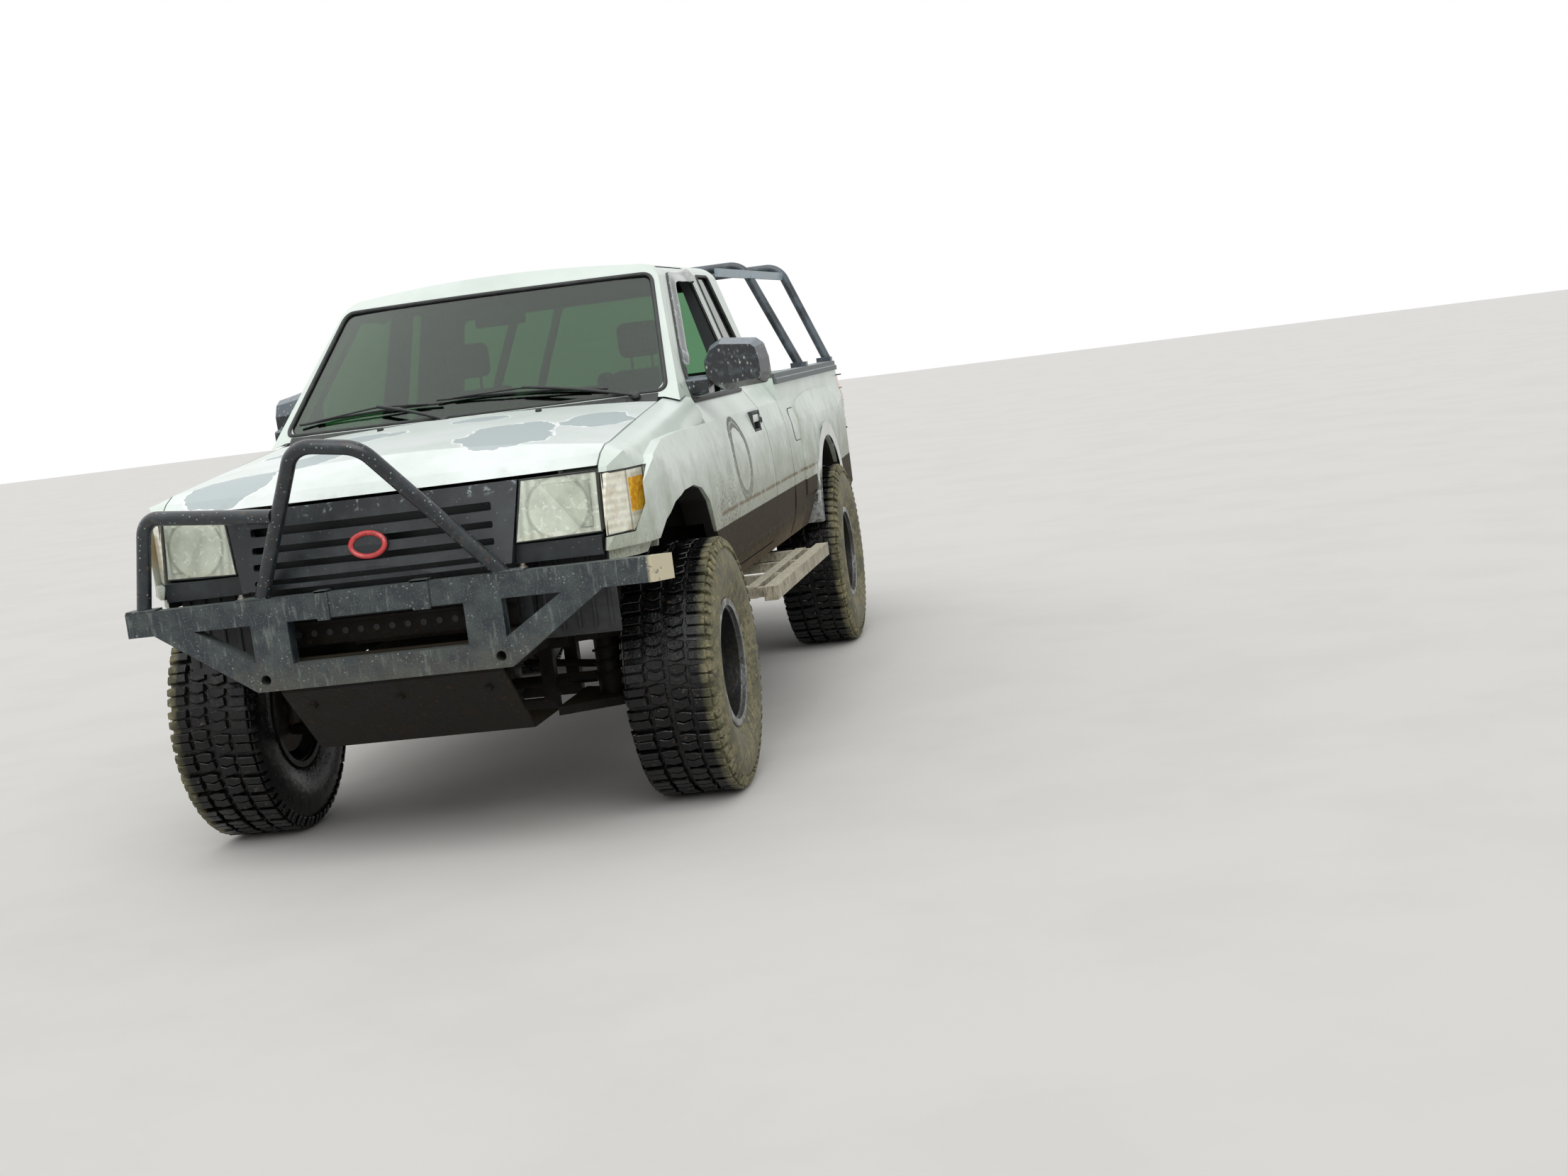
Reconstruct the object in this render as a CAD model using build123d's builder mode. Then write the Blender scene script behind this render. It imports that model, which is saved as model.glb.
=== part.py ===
"""Lifted off-road 4x4 pickup with an extended cab, tube bumper, rock sliders and a bed rack.

Millimetres. The front faces -Y, +X is the driver's side, +Z is up, and the origin is on
the ground at the middle of the outline. Lengths along the truck are given as s, counted
rearwards from the front axle, and heights as z above the ground.
"""

from build123d import *

import os

os.makedirs("parts", exist_ok=True)

# Driving dimensions
WHEELBASE = 3096
NOSE = 1041  # front axle to the front of the bumper's hoop
TAIL = 4330  # front axle to the back of the rear bumper
AXLE_Y = (NOSE - TAIL) / 2  # the front axle in the part's frame

TYRE_RADIUS = 419  # 33 inch tyre
AXLE_Z = TYRE_RADIUS
REAR_AXLE = WHEELBASE
KINGPIN_X = 640

ROCKER_Z = 610  # lower edge of the body
SILL_Z = 652  # lower edge of the doors
BELT_Z = 1268  # where the side of the cab turns up to the windows
RAIL_Z = 1290  # top of the bed's sides, under the caps
CREASE_Z = 1190  # upper edge of the fender bulges and the door's crease
ROOF_Z = 1810

FENDER_END = 520  # front fender to door
DOOR_END = 1600
CAB_END = 2080
BED_START = 2095
BED_END = 4120
GAP = 6  # shut lines of the doors, hood and tailgate


def side_plane(x=0.0):
    """Plane seen from the driver's side: its own axes are s and z, and it faces +X."""
    return Plane(origin=(x, AXLE_Y, 0), x_dir=(0, 1, 0), z_dir=(1, 0, 0))


def cross_plane(s):
    """Plane across the truck at s: its own axes are x and z, and it faces forwards."""
    return Plane(origin=(0, AXLE_Y + s, 0), x_dir=(1, 0, 0), z_dir=(0, -1, 0))


def plan_plane(z=0.0):
    """Level plane: its own axes are x and s, and it faces up."""
    return Plane(origin=(0, AXLE_Y, z), x_dir=(1, 0, 0), z_dir=(0, 0, 1))


def point(x, s, z):
    return (x, AXLE_Y + s, z)


def sides(low, high):
    """A stretch of x on the driver's side, and the same one on the passenger's side."""
    return (low, high), (-high, -low)


def save(name, shape):
    """Write one finished piece as the node of that name."""
    shape.label = name
    export_step(shape, f"parts/{name}.step")


def both_sides(part):
    """The part and its mirror image on the other side of the truck."""
    return Compound(children=list(part.solids()) + list(mirror(part, about=Plane.YZ).solids()))


# Each of the next functions adds its shape to the part that is being built, or cuts it away


def slab(x, s, z, mode=Mode.ADD):
    """Box between two x, two s and two z."""
    with Locations(point(sum(x) / 2, sum(s) / 2, sum(z) / 2)):
        Box(x[1] - x[0], s[1] - s[0], z[1] - z[0], mode=mode)


def outline_face(points):
    """Face with straight sides in the sketch that is being drawn."""
    with BuildLine() as line:
        Polyline(*points, close=True)
    make_face(line.edges())


def prism(plane, points, length, radius=0.0, inset=0.0, mode=Mode.ADD):
    """Prism on the plane, its corners rounded and its outline drawn in by `inset`."""
    with BuildSketch(plane) as outline:
        outline_face(points)
        if radius:
            fillet(outline.vertices(), radius)
        if inset:
            offset(amount=-inset, mode=Mode.REPLACE)
    extrude(outline.sketch, amount=length, mode=mode)


def side_prism(points, x_from, x_to, radius=0.0, inset=0.0, mode=Mode.ADD):
    """Prism with the side outline `points` (s, z), from x_from to x_to."""
    prism(side_plane(x_from), points, x_to - x_from, radius, inset, mode)


def front_prism(points, s_from, s_to, radius=0.0, inset=0.0, mode=Mode.ADD):
    """Prism with the front outline `points` (x, z), from s_from back to s_to."""
    prism(cross_plane(s_to), points, s_to - s_from, radius, inset, mode)


def plan_prism(points, z_from, z_to, mode=Mode.ADD):
    """Upright prism over the half outline `points` (x, s), mirrored to both sides."""
    with BuildSketch(plan_plane(z_from)) as plan:
        with BuildLine():
            Polyline((0, points[0][1]), *points, (0, points[-1][1]))
            mirror(about=Plane.YZ)
        make_face()
    extrude(plan.sketch, amount=z_to - z_from, mode=mode)


def turned(points, axis_s, mode=Mode.ADD):
    """Ring with the side outline `points` (s, z), turned about an upright line at axis_s."""
    with BuildSketch(side_plane()) as section:
        outline_face(points)
    revolve(section.sketch, axis=Axis(point(0, axis_s, 0), (0, 0, 1)), mode=mode)


def tube(points, radius, bend=0.0):
    """Round bar along the points (x, s, z), with its corners bent to the radius `bend`."""
    corners = [Vector(*point(*p)) for p in points]
    with BuildLine() as path:
        if bend:
            FilletPolyline(*corners, radius=bend)
        else:
            Polyline(*corners)
    with BuildSketch(Plane(origin=path.line @ 0, z_dir=path.line % 0)) as section:
        Circle(radius)
    sweep(section.sketch, path=path.line, transition=Transition.ROUND)


# Section of the body side, the same from the fenders to the tailgate

BODY_SIDE = [(786, ROCKER_Z), (822, 700), (838, 830), (840, 960), (828, 1090), (802, CREASE_Z)]


def body_section(s, length, top_x, top_z, grow=0.0, mode=Mode.ADD):
    """Body of both sides under a flat top, drawn forwards from s."""
    side = [(x + grow, z) for x, z in BODY_SIDE]
    with BuildSketch(cross_plane(s)) as section:
        with BuildLine():
            Line((0, ROCKER_Z), side[0])
            ThreePointArc(side[0], side[1], side[2])
            ThreePointArc(side[2], side[3], side[4])
            Polyline(side[4], side[5], (top_x, top_z), (0, top_z))
            mirror(about=Plane.YZ)
        make_face()
    extrude(section.sketch, amount=length, mode=mode)


# Front of the body: the fenders, hood, grille and lamps are cut from one outer form

HOOD_SLOPE = 0.10  # fall of the hood towards the front
HOOD_REAR = 330
HOOD_SHOULDER = [(802, CREASE_Z), (762, 1264), (690, 1287)]  # x and z at HOOD_REAR
HOOD_CROWN_Z = 1326
HOOD_THICK = 28
NOSE_AXIS_S = 1900
NOSE_PROFILE = [(-785, 860), (-741, 1138), (-690, 1176), (-600, 1212), (-430, 1262), (-200, 1420),
                (1500, 1420), (1500, 860)]
FACE_BOTTOM_Z = 893  # lower edge of the fenders ahead of the wheels
FRONT_LENGTH = 1300


def front_form(grow=0.0, drop=0.0, set_back=0.0):
    """Outer form of the front body, or a smaller one inside it."""
    rise = HOOD_SLOPE * (FENDER_END - HOOD_REAR)
    shoulder = [(x + grow, z - drop + rise) for x, z in HOOD_SHOULDER]
    crown_z = HOOD_CROWN_Z - drop + rise
    with BuildPart() as form:
        with BuildSketch(cross_plane(FENDER_END)):
            with BuildLine():
                Polyline((0, 300), (828 + grow, 300), *shoulder)
                ThreePointArc(shoulder[-1], (370, crown_z - 11), (0, crown_z))
                mirror(about=Plane.YZ)
            make_face()
        extrude(amount=FRONT_LENGTH, dir=(0, -1, -HOOD_SLOPE))
        body_section(FENDER_END, FRONT_LENGTH, 802 + grow, 1500, grow - 10, mode=Mode.INTERSECT)
        plan_prism([(830 + grow, FENDER_END), (830 + grow, -150), (805 + grow, -400),
                    (765 + grow, -570), (690 + grow, -690), (300, -800)], 600, 1500,
                   mode=Mode.INTERSECT)
        turned([(s + set_back, z) for s, z in NOSE_PROFILE], NOSE_AXIS_S, mode=Mode.INTERSECT)
    return form.part


front_outer = front_form()
front_inner = front_form(grow=-70, drop=34, set_back=60)

# Bulge over the driver's front wheel, out to just proud of the door
BULGE_EDGE = [(FENDER_END, CREASE_Z), (0, CREASE_Z), (-250, 1182), (-430, 1146), (-560, 1065),
              (-650, 975), (-700, FACE_BOTTOM_Z), (FENDER_END, FACE_BOTTOM_Z)]
with BuildPart() as bulge:
    side_prism(BULGE_EDGE, 650, 900)
    body_section(FENDER_END, FRONT_LENGTH, 802, 1400, 2, mode=Mode.INTERSECT)
    plan_prism([(845, FENDER_END), (845, -120), (832, -360), (803, -540), (715, -690), (690, -702),
                (300, -800)], 600, 1500, mode=Mode.INTERSECT)

FRONT_ARCH = [(-700, 700), (-470, FACE_BOTTOM_Z - 1), (-400, 942), (-290, 985), (-150, 1008),
              (0, 1012), (120, 992), (215, 940), (280, 830), (360, 757), (410, 700), (480, 560),
              (-700, 560)]
HOOD_EDGE = [(680, HOOD_REAR), (690, -220), (698, -480), (690, -640), (560, -900)]  # x and s
LAMP_OUTER_X = 696  # headlamp to corner lamp

with BuildPart() as fender_bounds:
    slab((LAMP_OUTER_X, 900), (-760, FENDER_END - GAP), (560, 1500))
    slab((640, 760), (-560, FENDER_END - GAP), (1060, 1400))

with BuildPart() as corner_lamp_recess:
    front_prism([(600, 930), (770, 930), (800, 1010), (800, 1122), (600, 1122)], -800, -452)
    add(front_form(grow=-30, set_back=38), mode=Mode.SUBTRACT)

# Wall beside the engine bay, with a rounded liner over the wheel
with BuildPart() as apron:
    with BuildSketch(side_plane(560)):
        with Locations((-20, 640)):
            Circle(400)
            Circle(388, mode=Mode.SUBTRACT)
        with Locations((-20, 440)):
            Rectangle(900, 820, mode=Mode.SUBTRACT)
    extrude(amount=215)
    slab((560, 574), (-600, 446), (850, 1150))
    slab((560, 740), (-600, -586), (905, 1100))
    slab((574, 706), (-586, 446), (1120, 1132))
    add(front_form(drop=40, set_back=40), mode=Mode.INTERSECT)

# Lower end of the fender, behind the wheel
with BuildPart() as fender_tail:
    body_section(FENDER_END, 600, 802, 1500, 1)
    body_section(FENDER_END, 600, 762, 1500, -40, mode=Mode.SUBTRACT)
    side_prism([(120, 900), (120, 560), (FENDER_END - GAP, 560), (FENDER_END - GAP, 900)], 700, 900,
               mode=Mode.INTERSECT)
    side_prism(FRONT_ARCH, 500, 900, mode=Mode.SUBTRACT)

with BuildPart() as fender_left:
    add(front_outer)
    add(bulge.part)
    add(front_inner, mode=Mode.SUBTRACT)
    plan_prism([(685, FENDER_END)] + [(x + 5, s) for x, s in HOOD_EDGE], 900, 1500,
               mode=Mode.SUBTRACT)
    side_prism(FRONT_ARCH, 500, 900, mode=Mode.SUBTRACT)
    add(fender_bounds.part, mode=Mode.INTERSECT)
    add(apron.part)
    add(fender_tail.part)
    side_prism(FRONT_ARCH, 800, 900, mode=Mode.SUBTRACT)
    add(corner_lamp_recess.part, mode=Mode.SUBTRACT)
save("fender_left", fender_left.part)
save("fender_right", mirror(fender_left.part, about=Plane.YZ))

# Hood, hinged along its rear edge
with BuildPart() as hood:
    add(front_outer)
    add(front_outer.moved(Location((0, 0, -HOOD_THICK))), mode=Mode.SUBTRACT)
    plan_prism(HOOD_EDGE, 900, 1500, mode=Mode.INTERSECT)
    slab((-900, 900), (-900, 900), (1143, 1500), mode=Mode.INTERSECT)
    turned([(HOOD_REAR - 82, 1200), (HOOD_REAR - 82, 1500), (HOOD_REAR + 300, 1500),
            (HOOD_REAR + 300, 1200)], 2600, mode=Mode.SUBTRACT)
save("hood", hood.part)

# Cab: one outer form, hollowed, with the windshield bowed about an upright line

SCREEN_FOOT = (318, 1325)  # s and z of the windshield's lower edge at the centre line
SCREEN_HEAD = (880, 1796)
SCREEN_PITCH = (SCREEN_HEAD[1] - SCREEN_FOOT[1]) / (SCREEN_HEAD[0] - SCREEN_FOOT[0])
SCREEN_AXIS_S = 2500
SCREEN_INSET = 6  # the glass behind the windshield's surface
WALL = 45  # thickness of the pillars and roof
DOOR_THICK = 72
ROOF_THICK = 36
FLOOR_Z = 690
BELT_X = 752
CANT_X = 615  # side of the roof
CANT_Z = 1735
ROOF_EDGE = (CANT_X - 93, ROOF_Z - 25)  # where the roof's shoulder meets its crown


def ahead_of_screen(offset=0.0, z_from=1246, mode=Mode.ADD):
    """Everything ahead of and above the windshield's surface, or one behind it."""
    foot_s = SCREEN_FOOT[0] + offset + (z_from - SCREEN_FOOT[1]) / SCREEN_PITCH
    head_s = SCREEN_FOOT[0] + offset + (1900 - SCREEN_FOOT[1]) / SCREEN_PITCH
    turned([(foot_s, z_from), (head_s, 1900), (-300, 1900), (-300, z_from)], SCREEN_AXIS_S, mode)


def cab_form(lower=0.0, upper=0.0, floor_z=ROCKER_Z, roof_drop=0.0):
    """Cab from its front view, `lower` thinner below the belt and `upper` above it."""
    side = [(x - lower, z) for x, z in BODY_SIDE]
    head = (CANT_X - upper, CANT_Z)
    shoulder = (CANT_X - upper - 28, CANT_Z + 32 - roof_drop / 2)
    edge = (ROOF_EDGE[0] - upper, ROOF_EDGE[1] - roof_drop)
    with BuildPart() as form:
        with BuildSketch(cross_plane(CAB_END)):
            with BuildLine():
                Polyline((0, floor_z), (side[0][0], floor_z), side[1] if floor_z < side[1][1] else side[2])
                if floor_z < side[1][1]:
                    Line(side[1], side[2])
                ThreePointArc(side[2], side[3], side[4])
                Polyline(side[4], side[5], (BELT_X - lower, BELT_Z), head)
                ThreePointArc(head, shoulder, edge)
                ThreePointArc(edge, (260, ROOF_Z - 6 - roof_drop), (0, ROOF_Z - roof_drop))
                mirror(about=Plane.YZ)
            make_face()
        extrude(amount=CAB_END - 200)
    return form.part


with BuildPart() as cab_outer:
    add(cab_form())
    side_prism([(480, ROCKER_Z), (CAB_END, ROCKER_Z), (CAB_END, 1290), (2052, 1700), (2020, 1850),
                (240, 1850), (240, 1214), (452, 1214), (452, 762), (480, 700)], -900, 900,
               mode=Mode.INTERSECT)
    ahead_of_screen(mode=Mode.SUBTRACT)
    turned([(-300, 1246), (HOOD_REAR - 70, 1246), (HOOD_REAR - 70, 1900), (-300, 1900)], 2600,
           mode=Mode.SUBTRACT)

with BuildPart() as cab_inside:
    add(cab_form(DOOR_THICK, WALL, FLOOR_Z, ROOF_THICK))
    side_prism([(496, FLOOR_Z), (2040, FLOOR_Z), (2040, 1290), (2010, 1700), (1986, 1850), (496, 1850)],
               -900, 900, mode=Mode.INTERSECT)
    ahead_of_screen(offset=56, z_from=1100, mode=Mode.SUBTRACT)

with BuildPart() as cab_walls:
    add(cab_outer.part)
    add(cab_inside.part, mode=Mode.SUBTRACT)

WINDSHIELD = [(-698, 1322), (698, 1322), (590, 1744), (-590, 1744)]  # x and z
DOOR_WINDOW = [(585, 1274), (645, 1392), (1075, 1740), (1486, 1742), (1536, 1274)]  # s and z
QUARTER_WINDOW = [(1645, 1296), (1622, 1738), (1858, 1738), (1968, 1296)]
REAR_WINDOW = [(-560, 1345), (560, 1345), (500, 1700), (-500, 1700)]
WINDSHIELD_RADIUS = 42
DOOR_WINDOW_RADIUS = 34
QUARTER_WINDOW_RADIUS = 30
REAR_WINDOW_RADIUS = 45
DOOR_TOP_Z = 1768
DOOR_TAPER = 0.26  # slant of the rear shut line in plan, so that the door swings clear
SILL_X = 728  # the door's inner face below its floor line
DOOR_HEAD_X = 558  # the inner edge of the door's frame, under the side of the roof


def door_region(gap=0.0):
    """Space of the driver's door, or of the hole that it closes."""
    slant = gap * 5 / 3
    rear = DOOR_END + gap
    with BuildPart() as region:
        side_prism([(FENDER_END - gap, SILL_Z - gap), (FENDER_END - gap, BELT_Z + 50),
                    (504 - slant, 1337), (1054 - gap / 3, DOOR_TOP_Z + gap), (1900, DOOR_TOP_Z + gap),
                    (1900, SILL_Z - gap)], 400, 900)
        slab((300, SILL_X - gap), (400, 2000), (500, 740), mode=Mode.SUBTRACT)
        slab((300, DOOR_HEAD_X - gap), (400, 2000), (CANT_Z - 4, 1900), mode=Mode.SUBTRACT)
        with BuildSketch(plan_plane(500)):
            outline_face([(900, FENDER_END - 60), (900, rear + 55 * DOOR_TAPER),
                          (400, rear - 445 * DOOR_TAPER), (400, FENDER_END - 60)])
        extrude(amount=1400, mode=Mode.INTERSECT)
    return region.part


# Room for the rear end of the driver's fender, under the foot of the windshield's pillar
with BuildPart() as fender_room:
    with BuildSketch(cross_plane(FENDER_END - 1)):
        outline_face([(634, 1150), (900, 1150), (900, 1214), (806, 1214), (768, 1288), (693, 1312),
                      (634, 1318)])
    extrude(amount=320, dir=(0, -1, -HOOD_SLOPE))
    slab((SILL_X, 900), (200, FENDER_END - 1), (560, CREASE_Z))

door_hole = door_region(GAP)
with BuildPart() as cab_shell:
    add(cab_walls.part)
    front_prism(WINDSHIELD, 100, 1250, WINDSHIELD_RADIUS, mode=Mode.SUBTRACT)
    front_prism(REAR_WINDOW, 1900, 2200, REAR_WINDOW_RADIUS, mode=Mode.SUBTRACT)
    add(door_hole, mode=Mode.SUBTRACT)
    mirror(door_hole, about=Plane.YZ, mode=Mode.SUBTRACT)
    for x_from, x_to in sides(400, 900):
        side_prism(QUARTER_WINDOW, x_from, x_to, QUARTER_WINDOW_RADIUS, mode=Mode.SUBTRACT)
    add(fender_room.part, mode=Mode.SUBTRACT)
    mirror(fender_room.part, about=Plane.YZ, mode=Mode.SUBTRACT)
    slab((-600, 600), (400, 2100), (500, 668), mode=Mode.SUBTRACT)
save("cab_shell", cab_shell.part)

HANDLE_S, HANDLE_Z = (1352, 1512), (1102, 1178)  # pocket behind the door's pull handle
with BuildPart() as door_left:
    add(cab_walls.part)
    add(door_region(), mode=Mode.INTERSECT)
    side_prism(DOOR_WINDOW, 400, 900, DOOR_WINDOW_RADIUS, mode=Mode.SUBTRACT)
    slab((799, 900), HANDLE_S, HANDLE_Z, mode=Mode.SUBTRACT)
save("door_left", door_left.part)
save("door_right", mirror(door_left.part, about=Plane.YZ))

# Glass: windshield, rear window and the two quarter windows; the driver's window is down
GLASS = 5
FIT = 2  # room between a pane and the edge of its opening
with BuildPart() as windshield:
    ahead_of_screen(offset=SCREEN_INSET + GLASS / SCREEN_PITCH, z_from=1300)
    ahead_of_screen(offset=SCREEN_INSET, z_from=1200, mode=Mode.SUBTRACT)
    front_prism(WINDSHIELD, 100, 1250, WINDSHIELD_RADIUS, FIT, mode=Mode.INTERSECT)
    add(cab_outer.part, mode=Mode.INTERSECT)

with BuildPart() as rear_glass:
    front_prism(REAR_WINDOW, 1900, 2200, REAR_WINDOW_RADIUS, FIT)
    side_prism([(2068, 1290), (2040, 1700), (2031, 1760), (2026, 1760), (2035, 1700), (2063, 1290)],
               -700, 700, mode=Mode.INTERSECT)


def side_pane(window, radius):
    """Pane of the driver's side in the window of that outline."""
    with BuildPart() as pane:
        add(cab_form(8, 8))
        add(cab_form(8 + GLASS, 8 + GLASS), mode=Mode.SUBTRACT)
        side_prism(window, 400, 900, radius, FIT, mode=Mode.INTERSECT)
    return pane.part


quarter_glass = both_sides(side_pane(QUARTER_WINDOW, QUARTER_WINDOW_RADIUS))
save("cab_glass", Compound(children=[*windshield.solids(), *rear_glass.solids(),
                                     *quarter_glass.solids()]))
save("door_glass_right", mirror(side_pane(DOOR_WINDOW, DOOR_WINDOW_RADIUS), about=Plane.YZ))

# Mirrors, one on each door; the passenger's is folded back
MIRROR_BACK_S = 706
MIRROR_PIVOT = (778, 668)  # x and s
with BuildPart() as mirror_housing:
    with BuildSketch(cross_plane(MIRROR_BACK_S)) as housing:
        outline_face([(788, 1330), (850, 1292), (1004, 1300), (1024, 1330), (1022, 1390), (1010, 1440),
                      (985, 1462), (862, 1476), (815, 1452), (786, 1400)])
        fillet(housing.vertices(), 14)
    extrude(amount=100, taper=12)
    with BuildSketch(cross_plane(MIRROR_BACK_S)):
        with Locations((912, 1385)):
            RectangleRounded(160, 124, 26)
    extrude(amount=9, mode=Mode.SUBTRACT)

with BuildPart() as mirror_foot:
    side_prism([(600, 1288), (600, 1342), (664, 1354), (704, 1350), (704, 1288)], 730, 812, radius=8)

mirror_clearance = cab_form(-3, -3)
with BuildPart() as mirror_left:
    add(mirror_housing.part)
    add(mirror_foot.part)
    add(mirror_clearance, mode=Mode.SUBTRACT)
save("mirror_left", mirror_left.part)

with BuildPart() as mirror_folded:
    add(mirror_housing.part.rotate(Axis(point(*MIRROR_PIVOT, 0), (0, 0, 1)), 90))
    add(mirror_foot.part)
    add(mirror_clearance, mode=Mode.SUBTRACT)
save("mirror_right", mirror(mirror_folded.part, about=Plane.YZ))

# Grille, lamps and the panel behind them
SLOTS = [(1052, 1078), (1001, 1022), (951, 972), (905, 922)]  # lower and upper edges
BADGE_Z = 997
with BuildPart() as badge:
    with BuildSketch(cross_plane(-730)):
        with Locations((0, BADGE_Z)):
            Ellipse(58, 38)
    extrude(amount=100)
    add(front_form(set_back=-10), mode=Mode.INTERSECT)
    add(front_form(set_back=24), mode=Mode.SUBTRACT)

with BuildPart() as grille:
    add(front_outer)
    add(front_form(set_back=30), mode=Mode.SUBTRACT)
    front_prism([(-461, 1132), (461, 1132), (423, 892), (-423, 892)], -900, -560,
                mode=Mode.INTERSECT)
    for low, high in SLOTS:
        front_prism([(-378, low), (378, low), (378, high), (-378, high)], -900, -560, radius=7,
                    mode=Mode.SUBTRACT)
    add(badge.part)
save("grille", grille.part)

with BuildPart() as headlamp:
    add(front_form(set_back=3))
    add(front_form(set_back=46), mode=Mode.SUBTRACT)
    front_prism([(468, 1129), (690, 1127), (690, 951), (440, 949)], -900, -500, radius=6,
                mode=Mode.INTERSECT)
    front_prism([(488, 1110), (668, 1108), (668, 970), (462, 970)], -690, -640)
save("headlamps", both_sides(headlamp.part))

with BuildPart() as corner_lamp:
    add(front_form(grow=-2, set_back=2))
    add(front_form(grow=-26, set_back=30), mode=Mode.SUBTRACT)
    front_prism([(700, 934), (767, 934), (797, 1011), (797, 1118), (700, 1118)], -800, -456,
                mode=Mode.INTERSECT)
save("corner_lamps", both_sides(corner_lamp.part))

with BuildPart() as front_panel:
    slab((-440, 440), (-652, -612), (700, 1100))  # radiator
    slab((-545, 545), (-628, -600), (1086, 1124))
    slab((-545, 545), (-640, -600), (884, 912))
    for x in sides(424, 690):
        slab(x, (-700, -640), (884, 940))
save("front_panel", front_panel.part)

# Bed: outer form with a bulge over each wheel, hollowed
ARCH_RADIUS = 400
ARCH_Z = 575
BED_INSIDE = 717  # x of the inner faces
BED_FLOOR_Z = 890
TAIL_END = 4140

with BuildPart() as bed_form:
    body_section(TAIL_END, 2140, 795, RAIL_Z)
    plan_prism([(852, BED_START), (852, 3300), (818, BED_END)], 560, 1400, mode=Mode.INTERSECT)

with BuildPart() as rear_bulges:
    side_prism([(2380, 760), (2455, 1150), (2590, 1180), (2885, 1200), (3220, 1203), (3710, 1190),
                (4010, 1130), (4060, 760)], -900, 900)
    body_section(TAIL_END, 2140, 803, RAIL_Z, 8, mode=Mode.INTERSECT)
    plan_prism([(856, BED_START), (856, 3300), (822, BED_END)], 560, 1400, mode=Mode.INTERSECT)

with BuildPart() as bed_outer:
    add(bed_form.part)
    add(rear_bulges.part)

with BuildPart() as bed:
    add(bed_outer.part)
    slab((-BED_INSIDE, BED_INSIDE), (2135, 4074), (BED_FLOOR_Z, 1400), mode=Mode.SUBTRACT)
    for x in sides(527, 720):
        slab(x, (2700, 3500), (880, 1100))
    slab((-700, 700), (2115, 4096), (500, 870), mode=Mode.SUBTRACT)
    slab((-706, 706), (4000, 4200), (500, 740), mode=Mode.SUBTRACT)
    slab((-706, 706), (4074, 4200), (862, 1400), mode=Mode.SUBTRACT)
    slab((-700, 700), (2000, 2140), (500, 700), mode=Mode.SUBTRACT)
    for side in (-1, 1):
        with BuildSketch(side_plane(side * 560)):
            with Locations((REAR_AXLE, ARCH_Z)):
                Circle(ARCH_RADIUS)
        extrude(amount=side * 400, mode=Mode.SUBTRACT)
    for x in sides(712, 900):
        slab(x, (4086, 4200), (954, 1236), mode=Mode.SUBTRACT)
save("bed", bed.part)

with BuildPart() as tailgate:
    slab((-700, 700), (4080, BED_END), (875, 1294))
    slab((-560, 560), (4114, 4130), (1010, 1160), mode=Mode.SUBTRACT)
    slab((-110, 110), (4112, 4122), (1170, 1230), mode=Mode.SUBTRACT)
save("tailgate", tailgate.part)

with BuildPart() as tail_lamp:
    slab((716, 900), (4090, TAIL_END), (960, 1230))
    body_section(TAIL_END, 60, 795, RAIL_Z, mode=Mode.INTERSECT)
    plan_prism([(852, BED_START), (852, 3300), (817, TAIL_END)], 560, 1400, mode=Mode.INTERSECT)
save("tail_lamps", both_sides(tail_lamp.part))

with BuildPart() as rail_cap:
    with BuildSketch(cross_plane(4066)):
        outline_face([(712, 1291), (798, 1291), (801, 1262), (813, 1262), (813, 1284), (805, 1288),
                      (805, 1308), (712, 1308)])
    extrude(amount=4066 - 2098)
save("rail_caps", both_sides(rail_cap.part))

with BuildPart() as arch_trim:
    with BuildSketch(side_plane(780)):
        with Locations((REAR_AXLE, ARCH_Z)):
            Circle(ARCH_RADIUS + 68)
            Circle(ARCH_RADIUS + 3, mode=Mode.SUBTRACT)
        with Locations((REAR_AXLE, 340)):
            Rectangle(1000, 545, mode=Mode.SUBTRACT)
    extrude(amount=78)
    add(bed_outer.part, mode=Mode.SUBTRACT)
save("arch_trims", both_sides(arch_trim.part))

# Rack over the bed: two hoops joined by a flat bar along each side
HOOPS = [(3157, 757, 545), (4040, 770, 580)]  # s, then x of the foot and of the corner
HOOP_FOOT_Z = 1322
HOOP_TOP_Z = 1816
RACK_TUBE = 22
with BuildPart() as bed_rack:
    with BuildSketch(plan_plane(1750)):
        outline_face([(560, 2350), (574, 2350), (596, 4075), (582, 4075)])
    extrude(amount=37)
    mirror(about=Plane.YZ)
    for s, foot_x, corner_x in HOOPS:
        for x in sides(722, 796):
            slab(x, (s - 40, s + 22), (1309, 1331))
        tube([(foot_x, s, HOOP_FOOT_Z), (corner_x, s, HOOP_TOP_Z), (-corner_x, s, HOOP_TOP_Z),
              (-foot_x, s, HOOP_FOOT_Z)], RACK_TUBE, bend=95)
save("bed_rack", bed_rack.part)

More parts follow.
